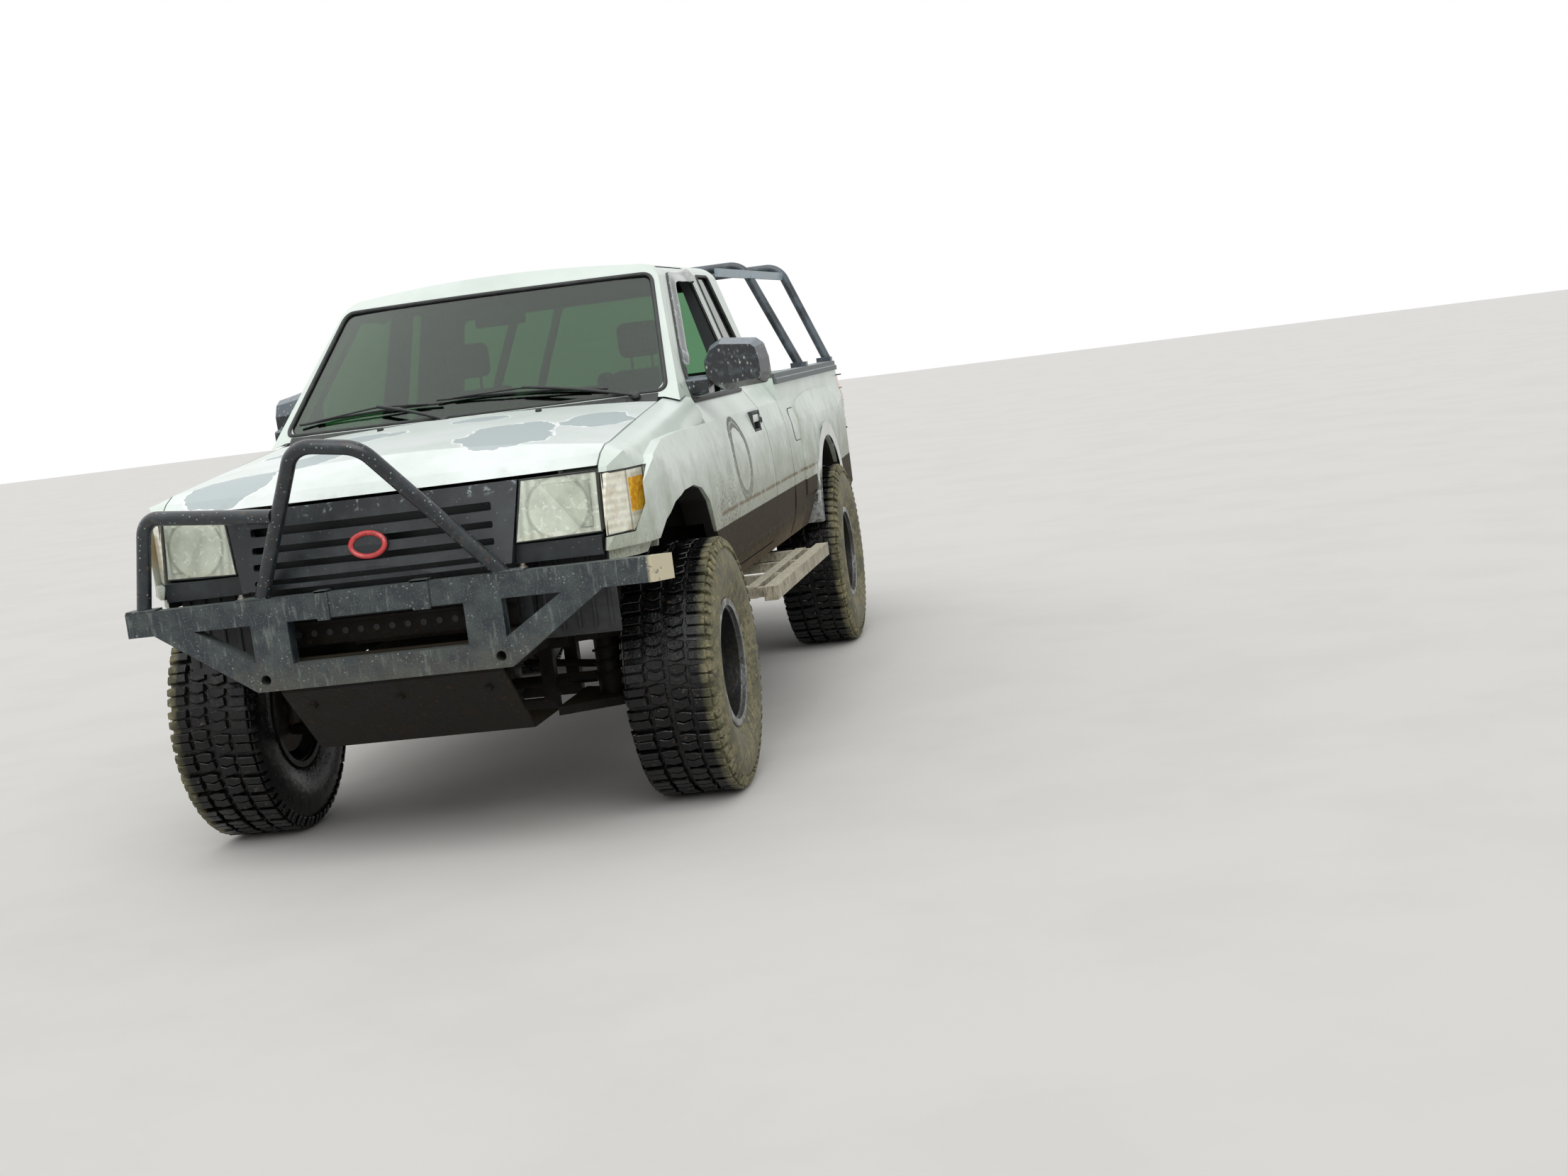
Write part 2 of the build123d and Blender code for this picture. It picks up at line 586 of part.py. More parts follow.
# Bumpers, hoop, skid plate and rock sliders
BUMPER_FRONT = -800
BUMPER_REAR = -749
TOW_HOLE = (368, 628, 15.5)  # x, z and radius of the shackle holes
with BuildPart() as front_bumper:
    with BuildSketch(plan_plane(797)):
        outline_face([(-783, BUMPER_FRONT), (855, BUMPER_FRONT), (905, BUMPER_REAR),
                      (-783, BUMPER_REAR)])
    extrude(amount=75)
    front_prism([(-398, 593), (398, 593), (398, 669), (-398, 669)], BUMPER_FRONT, BUMPER_REAR)
    for x in sides(275, 392):
        slab(x, (BUMPER_FRONT, BUMPER_REAR), (660, 800))
    for side in (-1, 1):
        front_prism([(side * x, z) for x, z in ((390, 593), (398, 593), (702, 798), (575, 798),
                                                (390, 682))], BUMPER_FRONT, BUMPER_REAR)
    with BuildSketch(cross_plane(BUMPER_REAR)):
        with Locations((-TOW_HOLE[0], TOW_HOLE[1]), (TOW_HOLE[0], TOW_HOLE[1])):
            Circle(TOW_HOLE[2])
    extrude(amount=60, mode=Mode.SUBTRACT)
save("front_bumper", front_bumper.part)

with BuildPart() as bumper_hoop:
    tube([(-375, -755, 834), (-84, -1019, 1317), (112, -1019, 1290), (425, -753, 834)], 22, bend=90)
    tube([(-739, -773, 833), (-676, -792, 1152), (-221, -905, 1119)], 22, bend=60)
    slab((-900, 900), (-900, -700), (700, 873), mode=Mode.SUBTRACT)
save("bumper_hoop", bumper_hoop.part)

with BuildPart() as skid_plate:
    side_prism([(-744, 590), (-500, 366), (-240, 366), (-240, 356), (-504, 356), (-744, 576)],
               -350, 350)
save("skid_plate", skid_plate.part)

with BuildPart() as slider:
    slab((925, 975), (540, 1890), (540, 590))
    slab((848, 890), (600, 1830), (545, 585))
    for s in (620, 1010, 1400, 1790):
        slab((480, 930), (s - 20, s + 20), (548, 582))
save("rock_sliders", both_sides(slider.part))

with BuildPart() as rear_bumper:
    slab((-790, 790), (4190, TAIL), (660, 760))
    for x in sides(402, 458):
        slab(x, (4154, 4200), (650, 730))
save("rear_bumper", rear_bumper.part)

# Frame: two rails with a kick-up over the rear axle, and crossmembers
RAIL_LINE = [(-745, 640), (345, 640), (475, 600), (2400, 600), (2750, 745), (3480, 745),
             (3800, 680), (4150, 680)]  # s and z of the rails' middle
RAIL_HALF = 50
CROSSMEMBERS = [(-690, 640, 345), (330, 640, 345), (1250, 600, 405), (2300, 600, 405),
                (3600, 725, 405), (4100, 680, 405)]  # s, z and half length
with BuildPart() as frame:
    side_prism([(s, z + RAIL_HALF) for s, z in RAIL_LINE]
               + [(s, z - RAIL_HALF) for s, z in RAIL_LINE[::-1]], 300, 500)
    with BuildSketch(plan_plane(400)):
        outline_face([(340, -745), (400, -745), (400, 500), (460, 720), (460, 4150), (400, 4150),
                      (400, 720), (340, 500)])
    extrude(amount=500, mode=Mode.INTERSECT)
    mirror(about=Plane.YZ)
    for s, z, reach in CROSSMEMBERS:
        slab((-reach, reach), (s - 30, s + 30), (z - 28, z + 28))
    for s in (-150, 150):
        slab((-398, 398), (s - 20, s + 20), (548, 594))
        slab((-335, 335), (s - 20, s + 20), (345, 385))
        for x in sides(290, 335):
            slab(x, (s - 20, s + 20), (345, 560))
    for s in (760, 1300, 1850):
        with Locations(point(-430, s, 657), point(430, s, 657)):
            Cylinder(32, 20)
save("frame", frame.part)

with BuildPart() as engine:
    slab((-260, 260), (-330, 300), (650, 1090))
    with BuildSketch(plan_plane(1090)):
        with Locations((0, -20)):
            RectangleRounded(380, 480, 40)
    extrude(amount=60)
save("engine", engine.part)

with BuildPart() as drivetrain:
    side_prism([(306, 480), (306, 605), (700, 580), (1100, 560), (1100, 440), (700, 460)], -130, 130)
    with Locations(point(0, 1128, 500)):
        Cylinder(30, 60, rotation=(90, 0, 0))
    tube([(0, 1150, 500), (0, 2930, 440)], 38)
save("drivetrain", drivetrain.part)

with BuildPart() as exhaust:
    tube([(-260, 700, 500), (-260, 2300, 500), (-330, 2700, 640), (-330, 3480, 640),
          (-330, 3850, 570), (-560, 4070, 560), (-560, 4180, 560)], 28, bend=90)
    with Locations(point(-260, 1800, 500)):
        Cylinder(80, 500, rotation=(90, 0, 0))
save("exhaust", exhaust.part)

with BuildPart() as fuel_tank:
    slab((90, 380), (1400, 2230), (440, 640))
    fillet(fuel_tank.edges(), 25)
save("fuel_tank", fuel_tank.part)

# Front suspension, and the knuckles that carry the front wheels
with BuildPart() as front_suspension:
    with BuildSketch(plan_plane(330)):
        outline_face([(338, -190), (338, 190), (655, 30), (655, -30)])
    extrude(amount=28)
    with BuildSketch(plan_plane(556)):
        outline_face([(404, -125), (404, 125), (655, 28), (655, -28)])
        with Locations((480, 0)):
            Circle(56, mode=Mode.SUBTRACT)
    extrude(amount=18)
    with Locations(point(480, 0, 545)):
        Cylinder(46, 366)
    with Locations(point(452, 0, 732)):
        Box(104, 104, 14)
    tube([(150, 0, AXLE_Z), (430, 0, AXLE_Z)], 19)
    tube([(166, 110, 470), (560, 108, 430)], 13)
    mirror(about=Plane.YZ)
    with Locations(point(0, 0, AXLE_Z)):
        Box(300, 190, 150)
    fillet(front_suspension.edges(Select.LAST), 20)
save("front_suspension", front_suspension.part)

SPINDLE = 32
with BuildPart() as knuckle_left:
    with Locations(point(KINGPIN_X, 0, 458)):
        Cylinder(32, 184)
    with Locations(point(KINGPIN_X, 56, 421)):
        Box(40, 110, 18)
    with Locations(point(700, 0, AXLE_Z)):
        Cylinder(SPINDLE, 90, rotation=(0, 90, 0))
    with Locations(point(690, 0, AXLE_Z)):
        Cylinder(72, 30, rotation=(0, 90, 0))
    with Locations(point(676, 0, AXLE_Z)):
        Cylinder(150, 18, rotation=(0, 90, 0))
save("knuckle_left", knuckle_left.part)
save("knuckle_right", mirror(knuckle_left.part, about=Plane.YZ))

REAR_AXLE_PROFILE = [(0, 0), (745, 0), (745, SPINDLE), (705, SPINDLE), (705, 72), (685, 72),
                     (685, 150), (640, 150), (640, 40), (140, 40), (118, 90), (72, 132), (0, 148)]
with BuildPart() as rear_axle:
    with BuildSketch(cross_plane(REAR_AXLE)):
        outline_face([(x, AXLE_Z + r) for x, r in REAR_AXLE_PROFILE])
    revolve(axis=Axis(point(0, REAR_AXLE, AXLE_Z), (1, 0, 0)))
    mirror(about=Plane.YZ)
save("rear_axle", rear_axle.part)

with BuildPart() as rear_spring:
    with BuildSketch(side_plane(470)):
        with BuildLine():
            ThreePointArc((2480, 560), (REAR_AXLE, 462), (3760, 590))
            Line((3760, 590), (3760, 612))
            ThreePointArc((3760, 612), (REAR_AXLE, 506), (2480, 582))
            Line((2480, 582), (2480, 560))
        make_face()
    extrude(amount=60)
    tube([(610, REAR_AXLE + 60, 480), (500, REAR_AXLE + 200, 820)], 26)
save("rear_springs", both_sides(rear_spring.part))

# Rims and tyres, made about an axle through the origin of s and z
RIM_BARREL = [(626, 188), (640, 188), (640, 182), (880, 182), (880, 188), (894, 188), (894, 207),
              (886, 207), (886, 196), (634, 196), (634, 207), (626, 207)]  # x and radius
RIM_DISC = [(713, SPINDLE + 0.05), (731, SPINDLE + 0.05), (731, 110), (752, 150), (752, 184),
            (733, 184), (733, 158), (713, 118)]
with BuildPart() as rim:
    with BuildSketch(cross_plane(0)):
        outline_face(RIM_BARREL)
        outline_face(RIM_DISC)
    revolve(axis=Axis(point(0, 0, 0), (1, 0, 0)))
    with BuildSketch(side_plane(700)):
        with PolarLocations(radius=132, count=8):
            Circle(17)
    extrude(amount=80, mode=Mode.SUBTRACT)

TYRE_FACETS = 36  # flat sides keep the tyres' meshes small
CARCASS = [(601, 290), (610, 362), (628, 400), (892, 400), (910, 362), (919, 290)]  # x and radius
DISHES = [[(590, 322), (638, 198)], [(882, 198), (930, 322)]]  # hollow of each sidewall
BORE = [(590, 198), (930, 198)]
LUGS = TYRE_FACETS // 2  # in each of the two rows
LUG_SIZE = (32, 92)
LUG_TOP = 417.35  # puts the lowest lug corner at TYRE_RADIUS


def faceted(profile):
    """Body with TYRE_FACETS flat sides about the x axis, each as far out as the profile says."""
    section = profile + [(x, -radius) for x, radius in profile[::-1]]
    with BuildPart() as form:
        for number in range(TYRE_FACETS // 2):
            with BuildSketch(plan_plane().rotated((number * 360 / TYRE_FACETS, 0, 0))) as outline:
                outline_face(section)
            extrude(outline.sketch, amount=TYRE_RADIUS, both=True,
                    mode=Mode.INTERSECT if number else Mode.ADD)
    return form.part


with BuildPart() as tyre:
    add(faceted(CARCASS))
    for hollow in DISHES + [BORE]:
        add(faceted(hollow), mode=Mode.SUBTRACT)
    for row, (x_from, x_to) in enumerate(((624, 752), (768, 896))):
        with BuildSketch(side_plane(x_from)):
            with PolarLocations(LUG_TOP - LUG_SIZE[0] / 2, LUGS, start_angle=row * 180 / LUGS):
                Rectangle(*LUG_SIZE)
        extrude(amount=x_to - x_from)

for name, x_sign, s in (("front_left", 1, 0), ("front_right", -1, 0), ("rear_left", 1, REAR_AXLE),
                        ("rear_right", -1, REAR_AXLE)):
    for piece, shape in (("rim", rim.part), ("tyre", tyre.part)):
        placed = shape if x_sign > 0 else mirror(shape, about=Plane.YZ)
        save(f"{piece}_{name}", placed.moved(Location((0, s, AXLE_Z))))

# Inside the cab
STEERING_WHEEL = Plane(origin=point(360, 952, 1108), z_dir=(0, 1, 0.32))
with BuildPart() as dashboard:
    side_prism([(504, 980), (504, 1236), (760, 1236), (850, 1180), (836, 1010), (700, 960)],
               -640, 640)
    tube([(360, 800, 1060), (360, 952, 1108)], 24)
    with Locations(STEERING_WHEEL):
        Torus(180, 13)
        Cylinder(34, 26)
        Box(350, 34, 12)
save("dashboard", dashboard.part)

with BuildPart() as seats:
    side_prism([(1080, 700), (1080, 900), (1130, 930), (1540, 900), (1540, 700)], 120, 600, radius=20)
    side_prism([(1480, 860), (1440, 1000), (1540, 1450), (1640, 1450), (1620, 860)], 130, 590,
               radius=30)
    side_prism([(1548, 1430), (1556, 1600), (1640, 1600), (1640, 1430)], 250, 470, radius=20)
    mirror(about=Plane.YZ)
    slab((-600, 600), (1790, 2020), (694, 960))
save("seats", seats.part)
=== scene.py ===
# %% [markdown]
# # A lifted off-road pickup, dressed over its CAD model
#
# The CAD gives every panel, tube, wheel and joint its place. This lesson gives them their
# finishes, adds the small parts that a drawing leaves out, and sets the light and the camera.

import math

import bmesh
import bpy
from mathutils import Matrix, Vector
from mathutils.bvhtree import BVHTree


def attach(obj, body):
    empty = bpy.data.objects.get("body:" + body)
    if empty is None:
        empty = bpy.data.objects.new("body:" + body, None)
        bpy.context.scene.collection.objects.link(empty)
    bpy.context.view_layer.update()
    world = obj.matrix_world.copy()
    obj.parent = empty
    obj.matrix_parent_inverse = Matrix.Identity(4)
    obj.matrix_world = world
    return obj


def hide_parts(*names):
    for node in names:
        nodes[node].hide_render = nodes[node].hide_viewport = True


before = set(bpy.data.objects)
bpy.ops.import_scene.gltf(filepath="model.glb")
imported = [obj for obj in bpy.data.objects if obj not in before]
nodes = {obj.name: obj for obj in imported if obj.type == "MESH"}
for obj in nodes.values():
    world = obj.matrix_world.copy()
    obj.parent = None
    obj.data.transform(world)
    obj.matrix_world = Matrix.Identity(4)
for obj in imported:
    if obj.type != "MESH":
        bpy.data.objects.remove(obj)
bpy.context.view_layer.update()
print(len(nodes), "CAD nodes")

# %% Places along the truck
AXLE_Y = -1.6445  # the front axle, in metres; s is counted rearwards from it
AXLE_Z = 419  # height of both axles, in mm
WHEELBASE = 3096
TO_FRAME = Matrix.Translation((0, AXLE_Y, 0)) @ Matrix.Scale(0.001, 4)


def place(x, s, z):
    """Point at x to the driver's side, s behind the front axle and z above the ground, in mm."""
    return TO_FRAME @ Vector((x, s, z))


print("rear axle at", place(0, WHEELBASE, AXLE_Z)[:], "m")

# %% [markdown]
# ## The camera
#
# The photograph was taken from the truck's left and from about the height of its windows.
# The camera's place, turn and focal length were solved from points that can be measured both
# on the truck and in the picture. The truck leaned in the photograph and stands level here,
# so the camera leans instead.

# %% Camera
CAMERA_AT = place(2224.5, -6592.5, 1428.4)
CAMERA_YAW = 0.1702  # radians, towards the driver's side
CAMERA_PITCH = 0.1168
CAMERA_ROLL = -0.1273
FOCAL_PX = 2918.8
PHOTO_WIDTH_PX = 2212

back = Vector((math.sin(CAMERA_YAW) * math.cos(CAMERA_PITCH),
               -math.cos(CAMERA_YAW) * math.cos(CAMERA_PITCH), math.sin(CAMERA_PITCH)))
right = Vector((math.cos(CAMERA_YAW), math.sin(CAMERA_YAW), 0))
up = back.cross(right)
cos_roll, sin_roll = math.cos(CAMERA_ROLL), math.sin(CAMERA_ROLL)
right, up = cos_roll * right + sin_roll * up, -sin_roll * right + cos_roll * up

camera_data = bpy.data.cameras.new("camera")
camera_data.sensor_width = 36
camera_data.lens = FOCAL_PX / PHOTO_WIDTH_PX * camera_data.sensor_width
camera_data.clip_end = 100
camera = bpy.data.objects.new("camera", camera_data)
camera.matrix_world = Matrix.Translation(CAMERA_AT) @ Matrix((right, up, back)).transposed().to_4x4()
bpy.context.scene.collection.objects.link(camera)
bpy.context.scene.camera = camera
print("camera lens", round(camera_data.lens, 1), "mm")

# %% [markdown]
# ## Colours and nodes
#
# Every colour is written as the hex value that a picture shows. Blender works with linear
# light, so one function turns a hex value into linear numbers, and one adds a node.

# %% Colours and nodes
COLOUR_A, COLOUR_B, COLOUR_OUT = 6, 7, 2  # the colour sockets of a Mix node
NUMBER_A, NUMBER_B = 2, 3  # and its number sockets


def linear(hex_colour):
    """Linear RGBA of an sRGB hex colour such as "C8D2CB"."""
    parts = [int(hex_colour[i:i + 2], 16) / 255 for i in (0, 2, 4)]
    return tuple(c / 12.92 if c <= 0.04045 else ((c + 0.055) / 1.055) ** 2.4 for c in parts) + (1,)


def add_node(owner, kind, inputs=None, **settings):
    """Add a node with its settings; each input gets a number, a colour or another node's output."""
    node = owner.node_tree.nodes.new(kind)
    for name, value in settings.items():
        setattr(node, name, value)
    for socket, value in (inputs or {}).items():
        if isinstance(value, bpy.types.NodeSocket):
            owner.node_tree.links.new(value, node.inputs[socket])
        else:
            node.inputs[socket].default_value = value
    return node


def new_finish(name, **surface):
    """Material with a place node, which says where a point lies; `surface` sets its shader."""
    material = bpy.data.materials.new(name)
    material.use_nodes = True
    for socket, value in surface.items():
        shader_of(material).inputs[socket.replace("_", " ")].default_value = value
    add_node(material, "ShaderNodeTexCoord", name="place")
    return material


def shader_of(material):
    """The node that turns colour, roughness and relief into a surface."""
    return material.node_tree.nodes["Principled BSDF"]


def where(material):
    """Where a point lies in the frame."""
    return material.node_tree.nodes["place"].outputs["Object"]


print("a grey of 808080 is", round(linear("808080")[0], 3), "in linear light")

# %% [markdown]
# ## Dirt, wear and grain
#
# A truck that works in mud carries the same few marks everywhere: splashed mud that thins
# out upwards, flecks, rain streaks and rubbed patches. Each mark is a *share*, a number from
# 0 to 1 that says how much of it lies on a point. The sizes are real ones in millimetres. A
# finish is then a ground colour with coats laid over it by their shares.

# %% Patches, flecks and streaks


def patchy(material, size_mm, low=0.45, high=0.6, detail=5.0, at=None):
    """Cloudy patches of about that size: none where the noise is under `low`, full over `high`."""
    noise = add_node(material, "ShaderNodeTexNoise",
                     {"Vector": at or where(material), "Scale": 1000 / size_mm, "Detail": detail,
                      "Roughness": 0.6})
    return add_node(material, "ShaderNodeMapRange",
                    {"Value": noise.outputs["Fac"], "From Min": low, "From Max": high}).outputs[0]


def flecks(material, size_mm, radius=0.25, stretch=(1, 1, 1)):
    """Separate drops or chips, one to each cell of that size."""
    spread = add_node(material, "ShaderNodeMapping", {"Vector": where(material), "Scale": stretch})
    cells = add_node(material, "ShaderNodeTexVoronoi",
                     {"Vector": spread.outputs[0], "Scale": 1000 / size_mm, "Randomness": 1.0})
    return add_node(material, "ShaderNodeMapRange",
                    {"Value": cells.outputs["Distance"], "From Min": radius,
                     "From Max": radius * 0.5}).outputs[0]


def streaks(material, width_mm, length_mm, low=0.5, high=0.65):
    """Marks that have run down a panel: patches that are drawn out along Z."""
    drawn = add_node(material, "ShaderNodeMapping",
                     {"Vector": where(material), "Scale": (1, 1, width_mm / length_mm)})
    return patchy(material, width_mm, low, high, at=drawn.outputs[0])


print("marks:", patchy.__name__, flecks.__name__, streaks.__name__)

# %% Bands, splashes and dust


def less(material, share, other):
    """A share reduced by another one, or by a number."""
    return add_node(material, "ShaderNodeMath", {0: share, 1: other}, operation="MULTIPLY").outputs[0]


def between(material, axis, low_mm, high_mm, soft_mm=3.0, mirrored=False):
    """1 between two places along X, Y or Z, in mm of the frame; soft at both ends."""
    value = add_node(material, "ShaderNodeSeparateXYZ", {"Vector": where(material)}).outputs[axis]
    if mirrored:
        value = add_node(material, "ShaderNodeMath", {0: value}, operation="ABSOLUTE").outputs[0]
    ends = [add_node(material, "ShaderNodeMapRange",
                     {"Value": value, "From Min": (edge - inwards) / 1000,
                      "From Max": (edge + inwards) / 1000}).outputs[0]
            for edge, inwards in ((low_mm, soft_mm), (high_mm, -soft_mm))]
    return less(material, *ends)


def splashed(material, full_z, clear_z, lump_mm):
    """Mud that covers all below full_z and nothing above clear_z, in lumps of that size."""
    height = add_node(material, "ShaderNodeSeparateXYZ", {"Vector": where(material)}).outputs["Z"]
    lumps = add_node(material, "ShaderNodeTexNoise",
                     {"Vector": where(material), "Scale": 1000 / lump_mm, "Detail": 8.0,
                      "Roughness": 0.65})
    reach = (clear_z - full_z) / 1000
    # the noise lies mostly between 0.3 and 0.7, so it lifts a point by half to all of the reach
    uneven = add_node(material, "ShaderNodeMath",
                      {0: lumps.outputs["Fac"], 1: reach * 1.6, 2: height}, operation="MULTIPLY_ADD")
    return add_node(material, "ShaderNodeMapRange",
                    {"Value": uneven.outputs[0], "From Min": clear_z / 1000 + reach * 0.55,
                     "From Max": full_z / 1000 + reach * 0.75}).outputs[0]


def on_top(material, low=0.35, high=0.9):
    """1 where the surface faces up, where dust settles; on the enamel it also places painted sky light.
    """
    facing = add_node(material, "ShaderNodeNewGeometry").outputs["Normal"]
    rise = add_node(material, "ShaderNodeSeparateXYZ", {"Vector": facing}).outputs["Z"]
    return add_node(material, "ShaderNodeMapRange",
                    {"Value": rise, "From Min": low, "From Max": high}).outputs[0]


print("marks by place:", between.__name__, splashed.__name__, on_top.__name__)

# %% The pitch of ribs
WAVES_AT_ONE = 20 / math.tau  # waves to the metre of a wave texture of scale 1
print("a wave texture of scale 1 has", round(WAVES_AT_ONE, 2), "waves to the metre")

# %% Coats and relief


def lay_coats(material, ground, roughness, coats):
    """Lay coats over the ground colour; each is (share, hex colour, roughness, how much shows)."""
    colour = linear(ground)
    for share, hex_colour, coat_roughness, *strength in coats:
        if strength:
            share = less(material, share, strength[0])
        colour = add_node(material, "ShaderNodeMix",
                          {0: share, COLOUR_A: colour, COLOUR_B: linear(hex_colour)},
                          data_type="RGBA").outputs[COLOUR_OUT]
        roughness = add_node(material, "ShaderNodeMix",
                             {0: share, NUMBER_A: roughness, NUMBER_B: coat_roughness}).outputs[0]
    material.node_tree.links.new(colour, shader_of(material).inputs["Base Color"])
    material.node_tree.links.new(roughness, shader_of(material).inputs["Roughness"])


def raise_relief(material, *layers):
    """Stack reliefs on the surface; each is (its height share, its height in mm)."""
    below = {}
    for share, height_mm in layers:
        bump = add_node(material, "ShaderNodeBump",
                        {"Height": share, "Strength": 1.0, "Distance": height_mm / 1000, **below})
        below = {"Normal": bump.outputs["Normal"]}
    material.node_tree.links.new(below["Normal"], shader_of(material).inputs["Normal"])


def dress(material, *names):
    """Give CAD nodes their finish."""
    for name in names:
        nodes[name].data.materials.clear()
        nodes[name].data.materials.append(material)
    print(material.name, "on", len(names), "nodes")


print("a finish takes", lay_coats.__name__, raise_relief.__name__, "and", dress.__name__)

# %% [markdown]
# ## Body paint
#
# The real panels are pressed steel under a pale green-white enamel with a clear coat. Low on
# the doors the coat is dull with road film, brown mud gathers along the lower recess, and
# below that the sides are painted dark grey-brown. Inside the wheel wells the same panels have
# another colour, the cab's inner faces and door gaps get painted shade, and faces that look up
# get painted sky light; the paint finds them all by where a face looks.

# %% Faces that look inwards
CAB_Y_MM = (AXLE_Y * 1000 + 345, AXLE_Y * 1000 + 2088)  # the cab's two ends along Y
print("cab from y", CAB_Y_MM[0], "to", CAB_Y_MM[1], "mm")


def facing_back(material, middle, keep, low, high):
    """Share of faces that look at `middle`, and the spoke from it; `keep` is 0 on unused axes."""
    facing = add_node(material, "ShaderNodeNewGeometry").outputs["Normal"]
    reach = add_node(material, "ShaderNodeVectorMath", {0: where(material), 1: middle},
                     operation="SUBTRACT")
    spoke = add_node(material, "ShaderNodeVectorMath", {0: reach.outputs[0], 1: keep},
                     operation="MULTIPLY").outputs[0]
    turned = add_node(material, "ShaderNodeVectorMath", {0: spoke, 1: facing},
                      operation="DOT_PRODUCT").outputs["Value"]
    inward = add_node(material, "ShaderNodeMapRange",
                      {"Value": turned, "From Min": -low, "From Max": -high}).outputs[0]
    return inward, spoke


def in_the_wells(material):
    """1 on faces inside a wheel well: those that face its axle, behind the arch's lip."""
    wells = []
    for s in (0, WHEELBASE):
        inward, spoke = facing_back(material, place(0, s, AXLE_Z), (0, 1, 1), 0.06, 0.12)
        far = add_node(material, "ShaderNodeVectorMath", {0: spoke}, operation="LENGTH").outputs["Value"]
        near = add_node(material, "ShaderNodeMapRange",
                        {"Value": far, "From Min": 0.72, "From Max": 0.70}).outputs[0]
        wells.append(less(material, inward, near))
    both = add_node(material, "ShaderNodeMath", {0: wells[0], 1: wells[1]}, operation="MAXIMUM")
    return less(material, both.outputs[0], between(material, "X", 0, 829, 2, mirrored=True))


def in_the_cab(material):
    """1 on the cab's inner faces, which get painted shade: the walls and the door's back, the headliner,
    the back wall and faces in the door gaps.
    """
    inward, _ = facing_back(material, place(0, 1250, 1280), (1, 1, 1), 0.05, 0.12)
    return less(material, inward, between(material, "Y", *CAB_Y_MM, 2))


# %% Body paint
PAINT = "CDD7CF"
PAINT_ROUGHNESS = 0.3
PAINT_SHADE = "BAC6BC"
SKY_LIGHT_ON_TOP = "DFE8E6"  # painted sky light: paler enamel on the faces that look up
ROAD_FILM = "8B8E7C"
DRY_MUD = "6B5A42"
WET_MUD = "3E3325"
KICKED_MUD = "574D3A"  # thrown up behind the front wheel
LOWER_PAINT = "2F291C"
LOWER_SPOTS = "5A4C36"
LOWER_PAINT_TOP = 828
RECESS_Z = 873  # the recess along the doors that mud gathers in
# painted shade: the cab's inner faces and the door gaps are darkened to this grey
CAB_INSIDE_SHADE = "3A3D3E"
WELL_BLACK = "171513"
SHADED_BLACK = "1C1A17"  # deep inside, where only the underside shows


def enamel(name):
    """Enamel with what lies on it: first the paint's own coats and its painted sky light, then the dirt
    and the painted shade.
    """
    material = new_finish(name, Coat_Roughness=0.15, Specular_IOR_Level=0.3)
    film = less(material, splashed(material, 900, 1230, 110), 0.7)
    runs = less(material, streaks(material, 14, 160), splashed(material, 800, 1250, 160))
    spray = less(material, flecks(material, 11), splashed(material, 700, 1020, 70))
    mud = less(material, splashed(material, 600, 740, 34), 0.85)
    low_spray = less(material, patchy(material, 9, 0.5, 0.62), splashed(material, 800, 1010, 60))
    kicked_up = less(material, between(material, "Y", CAB_Y_MM[0], CAB_Y_MM[0] + 420, 90),
                     splashed(material, 880, 1090, 50))
    kicked_up = less(material, kicked_up, patchy(material, 12, 0.5, 0.58))
    line = less(material, between(material, "Z", RECESS_Z - 4, RECESS_Z + 7, 5),
                patchy(material, 45, 0.34, 0.5))
    line = less(material, line, between(material, "Y", CAB_Y_MM[0] + 60, CAB_Y_MM[1] + 700, 30))
    lower = between(material, "Z", 0, LOWER_PAINT_TOP, 1.5)
    clear_coat = add_node(material, "ShaderNodeMapRange", {"Value": lower, "To Min": 0.12, "To Max": 0.0})
    material.node_tree.links.new(clear_coat.outputs[0], shader_of(material).inputs["Coat Weight"])
    paint_and_sky_light = [
        (patchy(material, 420, 0.4, 0.7), PAINT_SHADE, 0.34),
        # painted sky light on the faces that look up
        (on_top(material, 0.5, 1.0), SKY_LIGHT_ON_TOP, 0.4, 0.35),
    ]
    dirt_and_shade = [
        (film, ROAD_FILM, 0.62),
        (runs, ROAD_FILM, 0.6, 0.5),
        (low_spray, DRY_MUD, 0.75, 0.75),
        (kicked_up, KICKED_MUD, 0.8, 0.8),
        (line, DRY_MUD, 0.8),
        (lower, LOWER_PAINT, 0.92),
        (less(material, lower, patchy(material, 7, 0.55, 0.64)), LOWER_SPOTS, 0.8, 0.6),
        (mud, DRY_MUD, 0.85),
        (less(material, mud, patchy(material, 26, 0.5, 0.62)), WET_MUD, 0.55),
        (spray, WET_MUD, 0.6),
        # painted shade inside the cab
        (in_the_cab(material), CAB_INSIDE_SHADE, 0.75),
        (in_the_wells(material), WELL_BLACK, 0.8),
        (less(material, between(material, "X", 0, 700, 1, mirrored=True),
              between(material, "Z", 0, 1100, 1)), SHADED_BLACK, 0.8),
    ]
    peel = patchy(material, 4, 0.2, 0.8, 1.0)  # the orange-peel skin of sprayed enamel
    dents = patchy(material, 260, 0.2, 0.8, 1.0)
    raise_relief(material, (dents, 2.0), (peel, 0.03), (mud, 1.2))
    return material, paint_and_sky_light, dirt_and_shade


body_paint, paint_and_sky_light, dirt_and_shade = enamel("enamel_paint_dirty")
lay_coats(body_paint, PAINT, PAINT_ROUGHNESS, paint_and_sky_light + dirt_and_shade)
dress(body_paint, "cab_shell", "fender_left", "fender_right", "bed", "tailgate")

# %% [markdown]
# The doors carry one more thing: a dark ring, stuck on as film and now scuffed. Its picture
# is left off, so the ring is plain. It is drawn in the paint, because real film is too thin
# to model: how far a point lies from the ring's middle decides whether it is covered.

